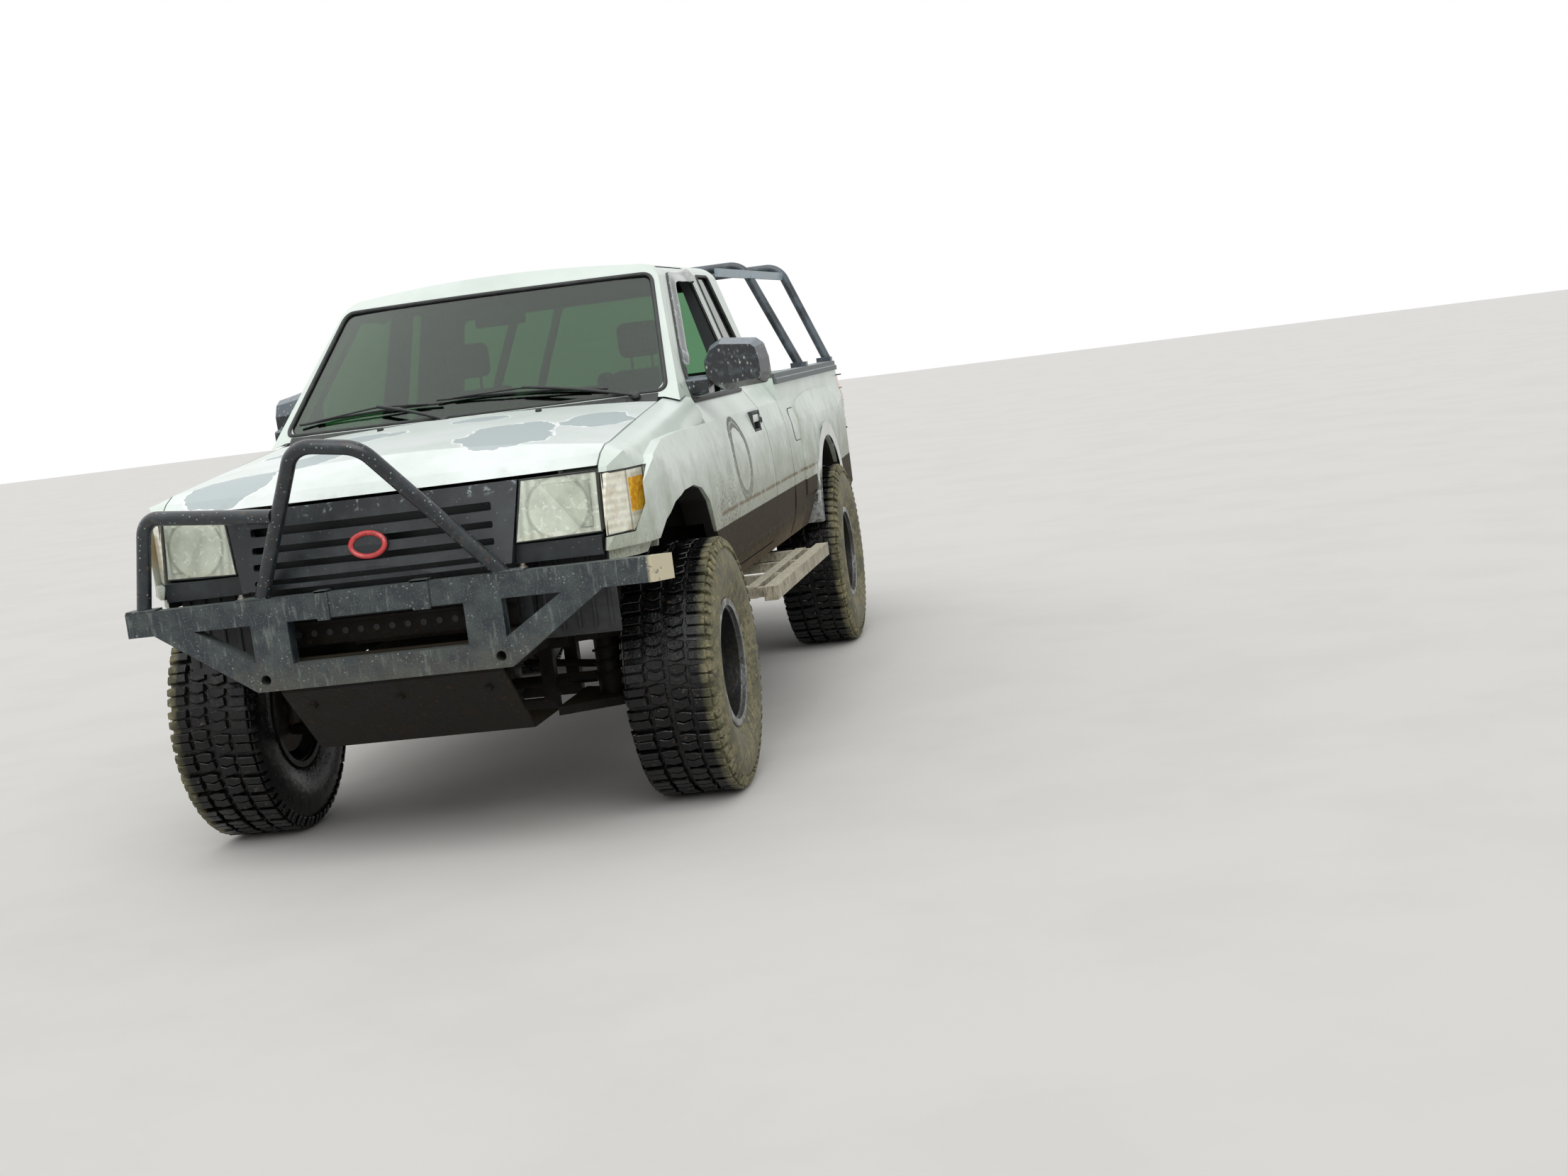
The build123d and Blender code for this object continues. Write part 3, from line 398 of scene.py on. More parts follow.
# %% Door paint with its ring
RING_AT = (AXLE_Y + 0.950, 1.027)  # y and z of its middle, in metres
RING_HALF = (0.168, 0.160)  # half its length and half its height
RING_INSIDE = 0.74  # inner edge, as a share of the outer one
RING_LINE = 0.11  # width of the dark line along each edge
RING_SOFT = 0.01
RING_BAND = "75836F"
RING_EDGE = "2B322B"
door_paint, paint_and_sky_light, dirt_and_shade = enamel("enamel_paint_with_ring")
centred = add_node(door_paint, "ShaderNodeMapping",
                   {"Vector": where(door_paint), "Scale": (0, 1 / RING_HALF[0], 1 / RING_HALF[1]),
                    "Location": (0, -RING_AT[0] / RING_HALF[0], -RING_AT[1] / RING_HALF[1])})
reach = add_node(door_paint, "ShaderNodeVectorMath", {0: centred.outputs[0]}, operation="LENGTH")
film = []
for low, high, colour, strength in ((RING_INSIDE, 1.0, RING_BAND, 0.75),
                                    (RING_INSIDE, RING_INSIDE + RING_LINE, RING_EDGE, 0.95),
                                    (1.0 - RING_LINE, 1.0, RING_EDGE, 0.95)):
    outside, inside = [add_node(door_paint, "ShaderNodeMapRange",
                                {"Value": reach.outputs["Value"], "From Min": edge - inwards,
                                 "From Max": edge + inwards}).outputs[0]
                       for edge, inwards in ((low, RING_SOFT), (high, -RING_SOFT))]
    ring = less(door_paint, outside, inside)
    film.append((less(door_paint, ring, patchy(door_paint, 18, 0.34, 0.44)), colour, 0.5, strength))
lay_coats(door_paint, PAINT, PAINT_ROUGHNESS, paint_and_sky_light + film + dirt_and_shade)
dress(door_paint, "door_left", "door_right")

# %% [markdown]
# The hood's clear coat has peeled off in patches with a bright torn edge. A few ovals give
# the patches their places, and noise that is added to each oval's edge makes it ragged.

# %% Hood paint with its peeling clear coat
# centre x and y, then half width and half length, of each bare patch, in metres
BARE_PATCHES = [(0.33, AXLE_Y - 0.30, 0.15, 0.26), (0.56, AXLE_Y - 0.06, 0.12, 0.17),
                (-0.36, AXLE_Y + 0.02, 0.26, 0.10), (-0.50, AXLE_Y - 0.55, 0.15, 0.13),
                (-0.30, AXLE_Y - 0.36, 0.10, 0.16), (0.12, AXLE_Y + 0.13, 0.10, 0.06)]
RAGGED_MM = 130
TORN_EDGE = "EDF1EF"
BARE_COAT = "A8B3B4"
hood_paint, paint_and_sky_light, dirt_and_shade = enamel("enamel_paint_peeling")
ragged = add_node(hood_paint, "ShaderNodeTexNoise",
                  {"Vector": where(hood_paint), "Scale": 1000 / RAGGED_MM, "Detail": 3.0,
                   "Roughness": 0.5})
nearest = None
for x, y, half_x, half_y in BARE_PATCHES:
    centred = add_node(hood_paint, "ShaderNodeMapping",
                       {"Vector": where(hood_paint), "Location": (-x / half_x, -y / half_y, 0),
                        "Scale": (1 / half_x, 1 / half_y, 0)})
    reach = add_node(hood_paint, "ShaderNodeVectorMath", {0: centred.outputs[0]},
                     operation="LENGTH").outputs["Value"]
    nearest = reach if nearest is None else add_node(
        hood_paint, "ShaderNodeMath", {0: nearest, 1: reach}, operation="MINIMUM").outputs[0]
edge = add_node(hood_paint, "ShaderNodeMath", {0: ragged.outputs["Fac"], 1: 1.2, 2: nearest},
                operation="MULTIPLY_ADD").outputs[0]
peeled = []
for limit, colour, coat_roughness in ((1.63, TORN_EDGE, 0.45), (1.57, BARE_COAT, 0.5)):
    share = add_node(hood_paint, "ShaderNodeMapRange",
                     {"Value": edge, "From Min": limit, "From Max": limit - 0.02})
    peeled.append((share.outputs[0], colour, coat_roughness))
# the hood's ground, DCE2E0, is paler than PAINT: painted sky light on this upward panel
lay_coats(hood_paint, "DCE2E0", 0.26, paint_and_sky_light + peeled + dirt_and_shade)
dress(hood_paint, "hood")

# %% [markdown]
# ## Steel that was painted at home
#
# The bumper, its hoop, the sliders and the rack are welded box section and tube. Sprayed
# black paint over mill scale is satin and blue-black, gets chipped to pale flecks, and holds
# a film of dry mud. Where the bumper's end was dragged over rock it is bare and tan.

# %% Bumpers
bumper_paint = new_finish("satin_paint_chipped", Coat_Weight=0.1, Coat_Roughness=0.3)
scraped = less(bumper_paint, between(bumper_paint, "X", 842, 1000, 6),
               patchy(bumper_paint, 30, 0.34, 0.42))
grit = patchy(bumper_paint, 3, 0.35, 0.7, 2.0)
chips = flecks(bumper_paint, 13, 0.24)
fine_chips = less(bumper_paint, patchy(bumper_paint, 5, 0.58, 0.66), 0.7)
haze = less(bumper_paint, patchy(bumper_paint, 70, 0.42, 0.72), 0.55)
lay_coats(bumper_paint, "1B2329", 0.42, [
    (haze, "4A544F", 0.65),
    (on_top(bumper_paint), "5B625E", 0.7, 0.5),
    (splashed(bumper_paint, 540, 760, 40), "57503E", 0.8, 0.45),
    (fine_chips, "6E7772", 0.6, 0.8),
    (less(bumper_paint, chips, patchy(bumper_paint, 90, 0.5, 0.62)), "8C938D", 0.6, 0.8),
    (streaks(bumper_paint, 16, 90, 0.56, 0.66), "79827B", 0.6, 0.35),
    (scraped, "B4AC93", 0.7),
])
raise_relief(bumper_paint, (grit, 0.25), (chips, 0.15))
dress(bumper_paint, "front_bumper", "rear_bumper")

# %% Hoop
hoop_paint = new_finish("satin_paint_on_tube", Coat_Weight=0.2, Coat_Roughness=0.25)
rubbed = patchy(hoop_paint, 60, 0.5, 0.7)
grit = patchy(hoop_paint, 4, 0.3, 0.7, 2.0)
lay_coats(hoop_paint, "151C21", 0.34, [
    (rubbed, "3B4245", 0.5, 0.6),
    (patchy(hoop_paint, 25, 0.6, 0.68), "5A4433", 0.75, 0.6),
    (flecks(hoop_paint, 16, 0.2), "8C9494", 0.6, 0.8),
])
raise_relief(hoop_paint, (grit, 0.15))
dress(hoop_paint, "bumper_hoop")

# %% Bed rack
rack_paint = new_finish("satin_paint_weathered", Coat_Weight=0.1)
flat_bar = less(rack_paint, between(rack_paint, "Z", 1750, 1787, 1),
                between(rack_paint, "X", 556, 598, 1, mirrored=True))
grit = patchy(rack_paint, 5, 0.3, 0.7, 2.0)
lay_coats(rack_paint, "272E33", 0.42, [
    (patchy(rack_paint, 80, 0.42, 0.62), "56626A", 0.5, 0.7),
    (on_top(rack_paint), "6A747A", 0.6, 0.4),
    (flat_bar, "8899A2", 0.5),
    (patchy(rack_paint, 14, 0.62, 0.68), "5B4634", 0.8, 0.7),
])
raise_relief(rack_paint, (grit, 0.2))
dress(rack_paint, "bed_rack")

# %% Sliders
slider_steel = new_finish("box_steel_muddy", Metallic=0.15)
cake = patchy(slider_steel, 55, 0.38, 0.6)
grit = patchy(slider_steel, 6, 0.3, 0.7, 3.0)
lay_coats(slider_steel, "8A8471", 0.6, [
    (cake, "B2AC98", 0.85),
    (on_top(slider_steel), "C0BBA8", 0.85, 0.7),
    (streaks(slider_steel, 9, 60), "4B4232", 0.6, 0.6),
    (patchy(slider_steel, 20, 0.6, 0.68), "5F3F28", 0.8, 0.8),
])
raise_relief(slider_steel, (cake, 1.5), (grit, 0.5))
dress(slider_steel, "rock_sliders")

# %% [markdown]
# ## Under the truck
#
# Chassis parts are dark paint or bare castings under years of mud. Three finishes cover
# them: chassis paint, rough cast iron and a heat-browned exhaust.

# %% Chassis paint
chassis_paint = new_finish("chassis_paint_muddy", Specular_IOR_Level=0.2)
cake = patchy(chassis_paint, 70, 0.42, 0.62)
grit = patchy(chassis_paint, 7, 0.3, 0.7, 4.0)
lay_coats(chassis_paint, "100F0C", 0.5, [
    (cake, "231E17", 0.85, 0.8),
    (on_top(chassis_paint), "4A4132", 0.9, 0.7),
    (patchy(chassis_paint, 16, 0.6, 0.67), "4A2F1C", 0.8, 0.5),
])
raise_relief(chassis_paint, (cake, 1.5), (grit, 0.6))
dress(chassis_paint, "frame", "front_suspension", "fuel_tank", "rear_springs", "skid_plate")

# %% Castings
cast_iron = new_finish("cast_iron_oily", Metallic=0.3)
sand = patchy(cast_iron, 3, 0.2, 0.8, 3.0)  # the skin that a sand mould leaves
lay_coats(cast_iron, "2B2826", 0.55, [
    (patchy(cast_iron, 45, 0.45, 0.62), "4A3B2A", 0.8, 0.8),
    (patchy(cast_iron, 12, 0.6, 0.68), "613B21", 0.8, 0.7),
])
raise_relief(cast_iron, (sand, 0.4))
dress(cast_iron, "engine", "drivetrain", "rear_axle", "knuckle_left", "knuckle_right")

# %% Exhaust
exhaust_steel = new_finish("exhaust_steel_browned", Metallic=0.8)
scale = patchy(exhaust_steel, 9, 0.4, 0.65, 4.0)
lay_coats(exhaust_steel, "6B6258", 0.45, [
    (patchy(exhaust_steel, 90, 0.4, 0.6), "57402C", 0.6, 0.8),
    (scale, "3A2C20", 0.8, 0.6),
])
raise_relief(exhaust_steel, (scale, 0.3))
dress(exhaust_steel, "exhaust")

# %% [markdown]
# ## Moulded black plastic
#
# The grille, the mirrors and the bed's rail caps are moulded ABS. It leaves the mould with a
# fine leather-like grain, greys on the faces that the sun reaches, and shows scuffs as pale
# smears. The mirrors are smoother and carry dried drops of muddy water.

# %% Grille
grille_plastic = new_finish("moulded_plastic_scuffed")
grain = patchy(grille_plastic, 2, 0.2, 0.8, 1.0)
rubbed = less(grille_plastic, between(grille_plastic, "Z", 1104, 1140, 8),
              patchy(grille_plastic, 30, 0.56, 0.62))
lay_coats(grille_plastic, "15191C", 0.38, [
    (on_top(grille_plastic, 0.2, 0.8), "566063", 0.6, 0.55),
    (patchy(grille_plastic, 60, 0.45, 0.7), "3B4447", 0.5, 0.35),
    (rubbed, "8D9698", 0.6, 0.7),
    (flecks(grille_plastic, 22, 0.12), "7C8486", 0.6, 0.4),
])
raise_relief(grille_plastic, (grain, 0.06))
dress(grille_plastic, "grille", "front_panel")

# %% Mirror shells
mirror_plastic = new_finish("mirror_plastic_spotted", Coat_Weight=0.2)
grain = patchy(mirror_plastic, 2, 0.2, 0.8, 1.0)
drops = less(mirror_plastic, flecks(mirror_plastic, 14, 0.3, (1, 1, 0.6)),
             patchy(mirror_plastic, 50, 0.4, 0.55))
lay_coats(mirror_plastic, "14181B", 0.26, [
    (on_top(mirror_plastic, 0.1, 0.8), "6E7C86", 0.45, 0.7),
    (patchy(mirror_plastic, 22, 0.52, 0.62), "49535A", 0.55, 0.45),
    (drops, "A7ACA8", 0.65, 0.85),
])
raise_relief(mirror_plastic, (grain, 0.05), (drops, 0.1))
dress(mirror_plastic, "mirror_left", "mirror_right")

# %% Rail caps
cap_plastic = new_finish("cap_plastic_faded")
grain = patchy(cap_plastic, 3, 0.2, 0.8, 1.0)
lay_coats(cap_plastic, "4B5254", 0.5, [
    (on_top(cap_plastic, 0.3, 0.9), "98A1A3", 0.6, 0.8),
    (patchy(cap_plastic, 50, 0.45, 0.6), "596164", 0.6, 0.5),
    (patchy(cap_plastic, 12, 0.6, 0.66), "8A8672", 0.8, 0.7),
])
raise_relief(cap_plastic, (grain, 0.1))
dress(cap_plastic, "rail_caps")

# %% [markdown]
# ## Rubber, rims and chrome
#
# A wet tyre is black and shines where it was just rubbed clean, while mud stays on its walls
# and in its grooves. The rims are cast alloy with a machined lip. The trim round the rear
# arches was chrome plated, and the plating has lifted near its lower ends.

# %% Tyre rubber
WALL_X = 876  # mud keeps to the sidewalls, outside this x
tyre_rubber = new_finish("tyre_rubber_wet", Specular_IOR_Level=0.3)
wall = add_node(tyre_rubber, "ShaderNodeMapRange",
                {"Value": between(tyre_rubber, "X", 0, WALL_X, 14, mirrored=True),
                 "From Min": 1.0, "From Max": 0.0}).outputs[0]
clods = patchy(tyre_rubber, 75, 0.42, 0.58)
grain = patchy(tyre_rubber, 4, 0.3, 0.7, 2.0)
lay_coats(tyre_rubber, "08090A", 0.2, [
    (patchy(tyre_rubber, 60, 0.54, 0.7), "221E19", 0.5, 0.5),
    (patchy(tyre_rubber, 18, 0.62, 0.7), "5E5140", 0.8, 0.5),
    (wall, "57563F", 0.6, 0.85),
    (less(tyre_rubber, wall, clods), "78735A", 0.75),
    (less(tyre_rubber, wall, patchy(tyre_rubber, 24, 0.56, 0.62)), "928A68", 0.8, 0.7),
    (less(tyre_rubber, wall, patchy(tyre_rubber, 17, 0.54, 0.62)), "1D1C12", 0.4, 0.7),
])
raise_relief(tyre_rubber, (clods, 1.2), (grain, 0.3))
dress(tyre_rubber, "tyre_front_left", "tyre_front_right", "tyre_rear_left", "tyre_rear_right")

# %% Rims
rim_alloy = new_finish("cast_alloy_muddy", Metallic=0.85)
splash = patchy(rim_alloy, 50, 0.42, 0.6)
barrel = between(rim_alloy, "X", 0, 878, 2, mirrored=True)  # all but the lip
lay_coats(rim_alloy, "8C8E8D", 0.28, [
    (barrel, "1A1D20", 0.4, 0.85),
    (splash, "332D22", 0.7, 0.6),
    (patchy(rim_alloy, 14, 0.58, 0.66), "2A2620", 0.6, 0.8),
])
raise_relief(rim_alloy, (splash, 0.8))
dress(rim_alloy, "rim_front_left", "rim_front_right", "rim_rear_left", "rim_rear_right")

# %% Chrome
chrome = new_finish("chrome_plating_lifting", Metallic=1.0)
lifted = less(chrome, splashed(chrome, 560, 860, 40), patchy(chrome, 26, 0.42, 0.5))
film = less(chrome, patchy(chrome, 120, 0.4, 0.7), 0.3)
lay_coats(chrome, "C9CDCC", 0.12, [
    (film, "8F9390", 0.4),
    (lifted, "3A3B38", 0.7),
    (splashed(chrome, 560, 700, 30), "5B4E3A", 0.8, 0.8),
])
raise_relief(chrome, (lifted, 0.3))
dress(chrome, "arch_trims")

# %% [markdown]
# ## Lamps and glass
#
# The headlamp lenses are polycarbonate, gone yellow-green and hazy. Upright flutes are
# moulded on the inside, except over the round bowl of the reflector, which shows through as
# a paler disc with a dark rim. The corner lamps have an amber part at their outer rear.
# Flutes and prisms are drawn wider than real, so that they show at this distance.

# %% Headlamps
BOWL_AT = (0.572, 1.038)  # x and z of the reflector bowl, in metres
BOWL_RADIUS = 0.088
FLUTE_MM = 29.6
GLINT_MM = 28
lamp_lens = new_finish("headlamp_lens_yellowed", Coat_Weight=0.6, Coat_Roughness=0.15, IOR=1.58)
parts = add_node(lamp_lens, "ShaderNodeSeparateXYZ", {"Vector": where(lamp_lens)})
across = add_node(lamp_lens, "ShaderNodeMath", {0: parts.outputs["X"]}, operation="ABSOLUTE")
face_place = add_node(lamp_lens, "ShaderNodeCombineXYZ",
                      {"X": across.outputs[0], "Z": parts.outputs["Z"]})
from_bowl = add_node(lamp_lens, "ShaderNodeVectorMath",
                     {0: face_place.outputs[0], 1: (BOWL_AT[0], 0, BOWL_AT[1])},
                     operation="DISTANCE").outputs["Value"]
outside_bowl = add_node(lamp_lens, "ShaderNodeMapRange",
                        {"Value": from_bowl, "From Min": BOWL_RADIUS - 0.004,
                         "From Max": BOWL_RADIUS + 0.004}).outputs[0]
bowl_edge = add_node(lamp_lens, "ShaderNodeMapRange",
                     {"Value": from_bowl, "From Min": BOWL_RADIUS + 0.012,
                      "From Max": BOWL_RADIUS + 0.002}).outputs[0]
rim_line = less(lamp_lens, outside_bowl, bowl_edge)
flutes = add_node(lamp_lens, "ShaderNodeTexWave",
                  {"Vector": where(lamp_lens), "Scale": 1000 / FLUTE_MM / WAVES_AT_ONE},
                  bands_direction="X").outputs["Fac"]
fluted = less(lamp_lens, flutes, outside_bowl)
cells = add_node(lamp_lens, "ShaderNodeTexNoise", {"Vector": where(lamp_lens), "Detail": 2.0,
                                                   "Scale": 1000 / GLINT_MM, "Distortion": 1.5})
glints = add_node(lamp_lens, "ShaderNodeMapRange",
                  {"Value": cells.outputs["Fac"], "From Min": 0.58, "From Max": 0.66}).outputs[0]
lay_coats(lamp_lens, "BCC3B2", 0.2, [
    (patchy(lamp_lens, 60, 0.4, 0.65), "949C8C", 0.3, 0.6),
    (fluted, "868D7E", 0.3, 0.65),
    (rim_line, "6E7767", 0.3, 0.7),
    (glints, "E4E9DC", 0.2, 0.4),
    (splashed(lamp_lens, 900, 1010, 30), "A2A07F", 0.6, 0.5),
])
raise_relief(lamp_lens, (fluted, 0.7))
dress(lamp_lens, "headlamps")

# %% Corner lamps
PRISM_MM = 23.7
corner_lens = new_finish("corner_lens_clear_and_amber", Coat_Weight=0.6, Coat_Roughness=0.12,
                         IOR=1.58)
prisms = add_node(corner_lens, "ShaderNodeTexWave",
                  {"Vector": where(corner_lens), "Scale": 1000 / PRISM_MM / WAVES_AT_ONE},
                  bands_direction="Z").outputs["Fac"]
amber_part = less(corner_lens, between(corner_lens, "X", 762, 900, 1, mirrored=True),
                  between(corner_lens, "Z", 990, 1092, 1))
amber_core = less(corner_lens, amber_part, patchy(corner_lens, 35, 0.5, 0.56))
seam = between(corner_lens, "X", 757, 761, 1, mirrored=True)
lay_coats(corner_lens, "DFDDCB", 0.2, [
    (prisms, "B4B2A0", 0.25, 0.5),
    (patchy(corner_lens, 30, 0.5, 0.62), "EDEFE6", 0.2, 0.6),
    (patchy(corner_lens, 45, 0.52, 0.62), "A98B62", 0.3, 0.35),
    (seam, "716F60", 0.4, 0.7),
    (amber_part, "D8961C", 0.2),
    (amber_core, "F3C22E", 0.2),
])
raise_relief(corner_lens, (prisms, 0.5))
dress(corner_lens, "corner_lamps")

# %% Tail lamps
PRISM_MM = 35.53
tail_lens = new_finish("tail_lens_red", Coat_Weight=0.5, Coat_Roughness=0.1, IOR=1.58)
prisms = add_node(tail_lens, "ShaderNodeTexWave",
                  {"Vector": where(tail_lens), "Scale": 1000 / PRISM_MM / WAVES_AT_ONE},
                  bands_direction="Z").outputs["Fac"]
lay_coats(tail_lens, "8E1414", 0.2, [
    (prisms, "5A0C0C", 0.25, 0.5),
    (between(tail_lens, "Z", 1010, 1062, 1), "D9D6CC", 0.25),
    (between(tail_lens, "Z", 1168, 1230, 1), "C9741A", 0.25),
    (patchy(tail_lens, 40, 0.5, 0.66), "7A6A55", 0.6, 0.4),
])
raise_relief(tail_lens, (prisms, 0.6))
dress(tail_lens, "tail_lamps")

# %% [markdown]
# Glass needs no pattern to be itself, but this truck's panes are green-tinted, and they carry
# splashes and a wiped film. Transmission lets the cab show through, and the film lowers it.

# %% Window glass
window_glass = new_finish("laminated_glass_green", Transmission_Weight=1.0, IOR=1.52,
                          Specular_IOR_Level=0.1)
spots = less(window_glass, flecks(window_glass, 24, 0.12), patchy(window_glass, 90, 0.45, 0.6))
smear = less(window_glass, patchy(window_glass, 160, 0.45, 0.75), 0.25)
lay_coats(window_glass, "5F8A67", 0.0, [
    (smear, "6C9474", 0.02),
    (spots, "8FA096", 0.15, 0.5),
])
dress(window_glass, "cab_glass", "door_glass_right")

# %% [markdown]
# ## Inside the cab
#
# The dashboard is grained dark grey plastic. The seats are cloth over foam, which a plain
# solid can't show, so they are modelled further down and only their cloth is made here. Its
# weave is drawn much coarser than real, at 24 mm, so that it shows at this distance.

# %% Dashboard plastic
cab_plastic = new_finish("dashboard_plastic_grained")
grain = patchy(cab_plastic, 3, 0.2, 0.8, 1.0)
lay_coats(cab_plastic, "34363A", 0.6, [
    (on_top(cab_plastic), "5D5C55", 0.75, 0.5),
    (patchy(cab_plastic, 80, 0.45, 0.65), "44464A", 0.7, 0.4),
])
raise_relief(cab_plastic, (grain, 0.2))
dress(cab_plastic, "dashboard")

# %% Seat cloth
WEAVE_MM = 23.7
UNEVEN = 0.6  # how far the threads wander
seat_cloth = new_finish("woven_seat_cloth", Sheen_Weight=0.3, Sheen_Roughness=0.5)
warp, weft = [add_node(seat_cloth, "ShaderNodeTexWave",
                       {"Vector": where(seat_cloth), "Scale": 1000 / WEAVE_MM / WAVES_AT_ONE,
                        "Distortion": UNEVEN}, bands_direction=axis).outputs["Fac"]
              for axis in "XZ"]
threads = less(seat_cloth, warp, weft)
lay_coats(seat_cloth, "3B3E42", 0.85, [
    (threads, "5A5E63", 0.9, 0.7),
    (patchy(seat_cloth, 130, 0.45, 0.65), "55503F", 0.9, 0.4),
])
raise_relief(seat_cloth, (threads, 0.5))
dress(seat_cloth, "seats")

# %% [markdown]
# ## Small stuff
#
# Five more finishes for the pieces that are added below: rubber for seals and wipers, zinc
# plating for bolts, silvered mirror glass, the red enamel of the plain badge, and the smoked
# acrylic of the rain visors.

# %% Rubber
seal_rubber = new_finish("seal_rubber_dusty")
dust = patchy(seal_rubber, 40, 0.45, 0.65)
lay_coats(seal_rubber, "17191A", 0.55, [
    (dust, "3E4240", 0.75, 0.5),
    (on_top(seal_rubber, 0.5, 1.0), "565B58", 0.8, 0.4),
])
raise_relief(seal_rubber, (patchy(seal_rubber, 3, 0.2, 0.8, 1.0), 0.1))
print(seal_rubber.name)

# %% Zinc plating
zinc_bolt = new_finish("zinc_plate_rusting", Metallic=0.8)
bloom = patchy(zinc_bolt, 7, 0.45, 0.6)
lay_coats(zinc_bolt, "8D8D88", 0.4, [(bloom, "6A4A30", 0.8)])
raise_relief(zinc_bolt, (bloom, 0.2))
print(zinc_bolt.name)

# %% Mirror silver
mirror_glass = new_finish("silvered_glass", Metallic=1.0)
spots = less(mirror_glass, flecks(mirror_glass, 18, 0.14), patchy(mirror_glass, 60))
lay_coats(mirror_glass, "D5D9D8", 0.03, [(spots, "9B9C92", 0.5, 0.7)])
print(mirror_glass.name)

# %% Badge enamel
red_enamel = new_finish("badge_enamel_red", Coat_Weight=0.5)
chipped = patchy(red_enamel, 8, 0.6, 0.66)
lay_coats(red_enamel, "C23A3A", 0.35, [
    (patchy(red_enamel, 25, 0.45, 0.65), "8E2226", 0.5, 0.5),
    (chipped, "3A2020", 0.7, 0.8),
])
raise_relief(red_enamel, (chipped, 0.2))
print(red_enamel.name)

# %% Smoked acrylic
smoked_plastic = new_finish("smoked_plastic_visor", Coat_Weight=0.8)
# painted highlight: pale patches that stand in for the sky's reflection in the visor
visor_painted_highlight = patchy(smoked_plastic, 26, 0.56, 0.64)
lay_coats(smoked_plastic, "1E2827", 0.1, [
    (patchy(smoked_plastic, 70, 0.42, 0.66), "3F4E4C", 0.2, 0.7),
    (visor_painted_highlight, "AEBBBB", 0.25, 0.6),
])
raise_relief(smoked_plastic, (visor_painted_highlight, 0.1))
print(len(bpy.data.materials), "finishes")

# %% [markdown]
# ## Tools for new pieces
#
# Every new piece is drawn in millimetres as (x, s, z), the same numbers as on the CAD, and
# turned into the frame's metres at the end. A few small helpers shape it from Blender's own
# mesh operators: a rounded block, a plate cut to an outline, a turned ring and a bent rod.

# %% Blocks and plates


def round_edges(mesh, verts, bevel, segments):
    """Round every edge that meets these points."""
    edges = list({edge for vert in verts for edge in vert.link_edges})
    bmesh.ops.bevel(mesh, geom=edges, offset=bevel, segments=segments, profile=0.5, affect="EDGES",
                    material=-1)


def add_block(mesh, x, s, z, bevel=2.0, turn=None):
    """Block between two x, two s and two z with rounded edges; `turn` turns it about its middle."""
    made = bmesh.ops.create_cube(mesh, size=1)["verts"]
    middle = Vector(((x[0] + x[1]) / 2, (s[0] + s[1]) / 2, (z[0] + z[1]) / 2))
    size = Matrix.Diagonal((x[1] - x[0], s[1] - s[0], z[1] - z[0], 1))
    bmesh.ops.transform(mesh, matrix=Matrix.Translation(middle) @ (turn or Matrix()) @ size, verts=made)
    round_edges(mesh, made, bevel, segments=2)


def add_plate(mesh, corners, depth, bevel=1.0, segments=1):
    """Plate over the outline `corners`, as thick as the vector `depth`, with rounded edges."""
    face = mesh.faces.new([mesh.verts.new(corner) for corner in corners])
    pushed = bmesh.ops.extrude_face_region(mesh, geom=[face])["geom"]
    moved = [item for item in pushed if isinstance(item, bmesh.types.BMVert)]
    bmesh.ops.translate(mesh, verts=moved, vec=Vector(depth))
    round_edges(mesh, list(face.verts) + moved, bevel, segments)


print("drawn in mm by", add_block.__name__, "and", add_plate.__name__)

# %% Rings and rods
ROD_SIDES = 3  # steps in each quarter of a rod's roundness
BEND_STEPS = 6  # steps from one point of a bent rod to the next


def add_turned(mesh, profile, middle, axis, steps=48):
    """Ring turned about `axis` through `middle`; the profile holds (distance along it, radius)."""
    axis = Vector(axis)
    middle = Vector(middle)
    across = axis.orthogonal().normalized()
    verts = [mesh.verts.new(middle + axis * along + across * radius) for along, radius in profile]
    edges = [mesh.edges.new(pair) for pair in zip(verts, verts[1:])]
    bmesh.ops.spin(mesh, geom=verts + edges, cent=middle, axis=axis, angle=math.tau, steps=steps,
                   use_merge=True)


def add_rod(mesh, points, radius, closed=False, bends=True):
    """Round rod or bead along the points, with its corners bent or sharp."""
    path = bpy.data.curves.new("path", "CURVE")
    path.dimensions = "3D"
    path.bevel_depth = radius
    path.bevel_resolution = ROD_SIDES
    path.resolution_u = BEND_STEPS
    path.use_fill_caps = not closed
    run = path.splines.new("NURBS" if bends else "POLY")
    run.points.add(len(points) - 1)
    for knot, at in zip(run.points, points):
        knot.co = (*at, 1)
    run.use_cyclic_u = closed
    if bends:
        run.order_u = 3
        run.use_endpoint_u = not closed
    holder = bpy.data.objects.new("path", path)
    drawn = bpy.data.meshes.new_from_object(holder)
    mesh.from_mesh(drawn)
    bpy.data.objects.remove(holder)
    bpy.data.meshes.remove(drawn)
    bpy.data.curves.remove(path)


print("and by", add_turned.__name__, "and", add_rod.__name__)

# %% From a drawing to a piece
SHARP = math.radians(32)  # edges that bend more than this stay crisp
CLOSE_MM = 0.02  # points closer than this are one


def mirrored(mesh):
    """Add the mirror image of everything drawn so far, on the other side of the truck."""
    bmesh.ops.mirror(mesh, geom=mesh.verts[:] + mesh.edges[:] + mesh.faces[:], matrix=Matrix(),
                     merge_dist=-1, axis="X")


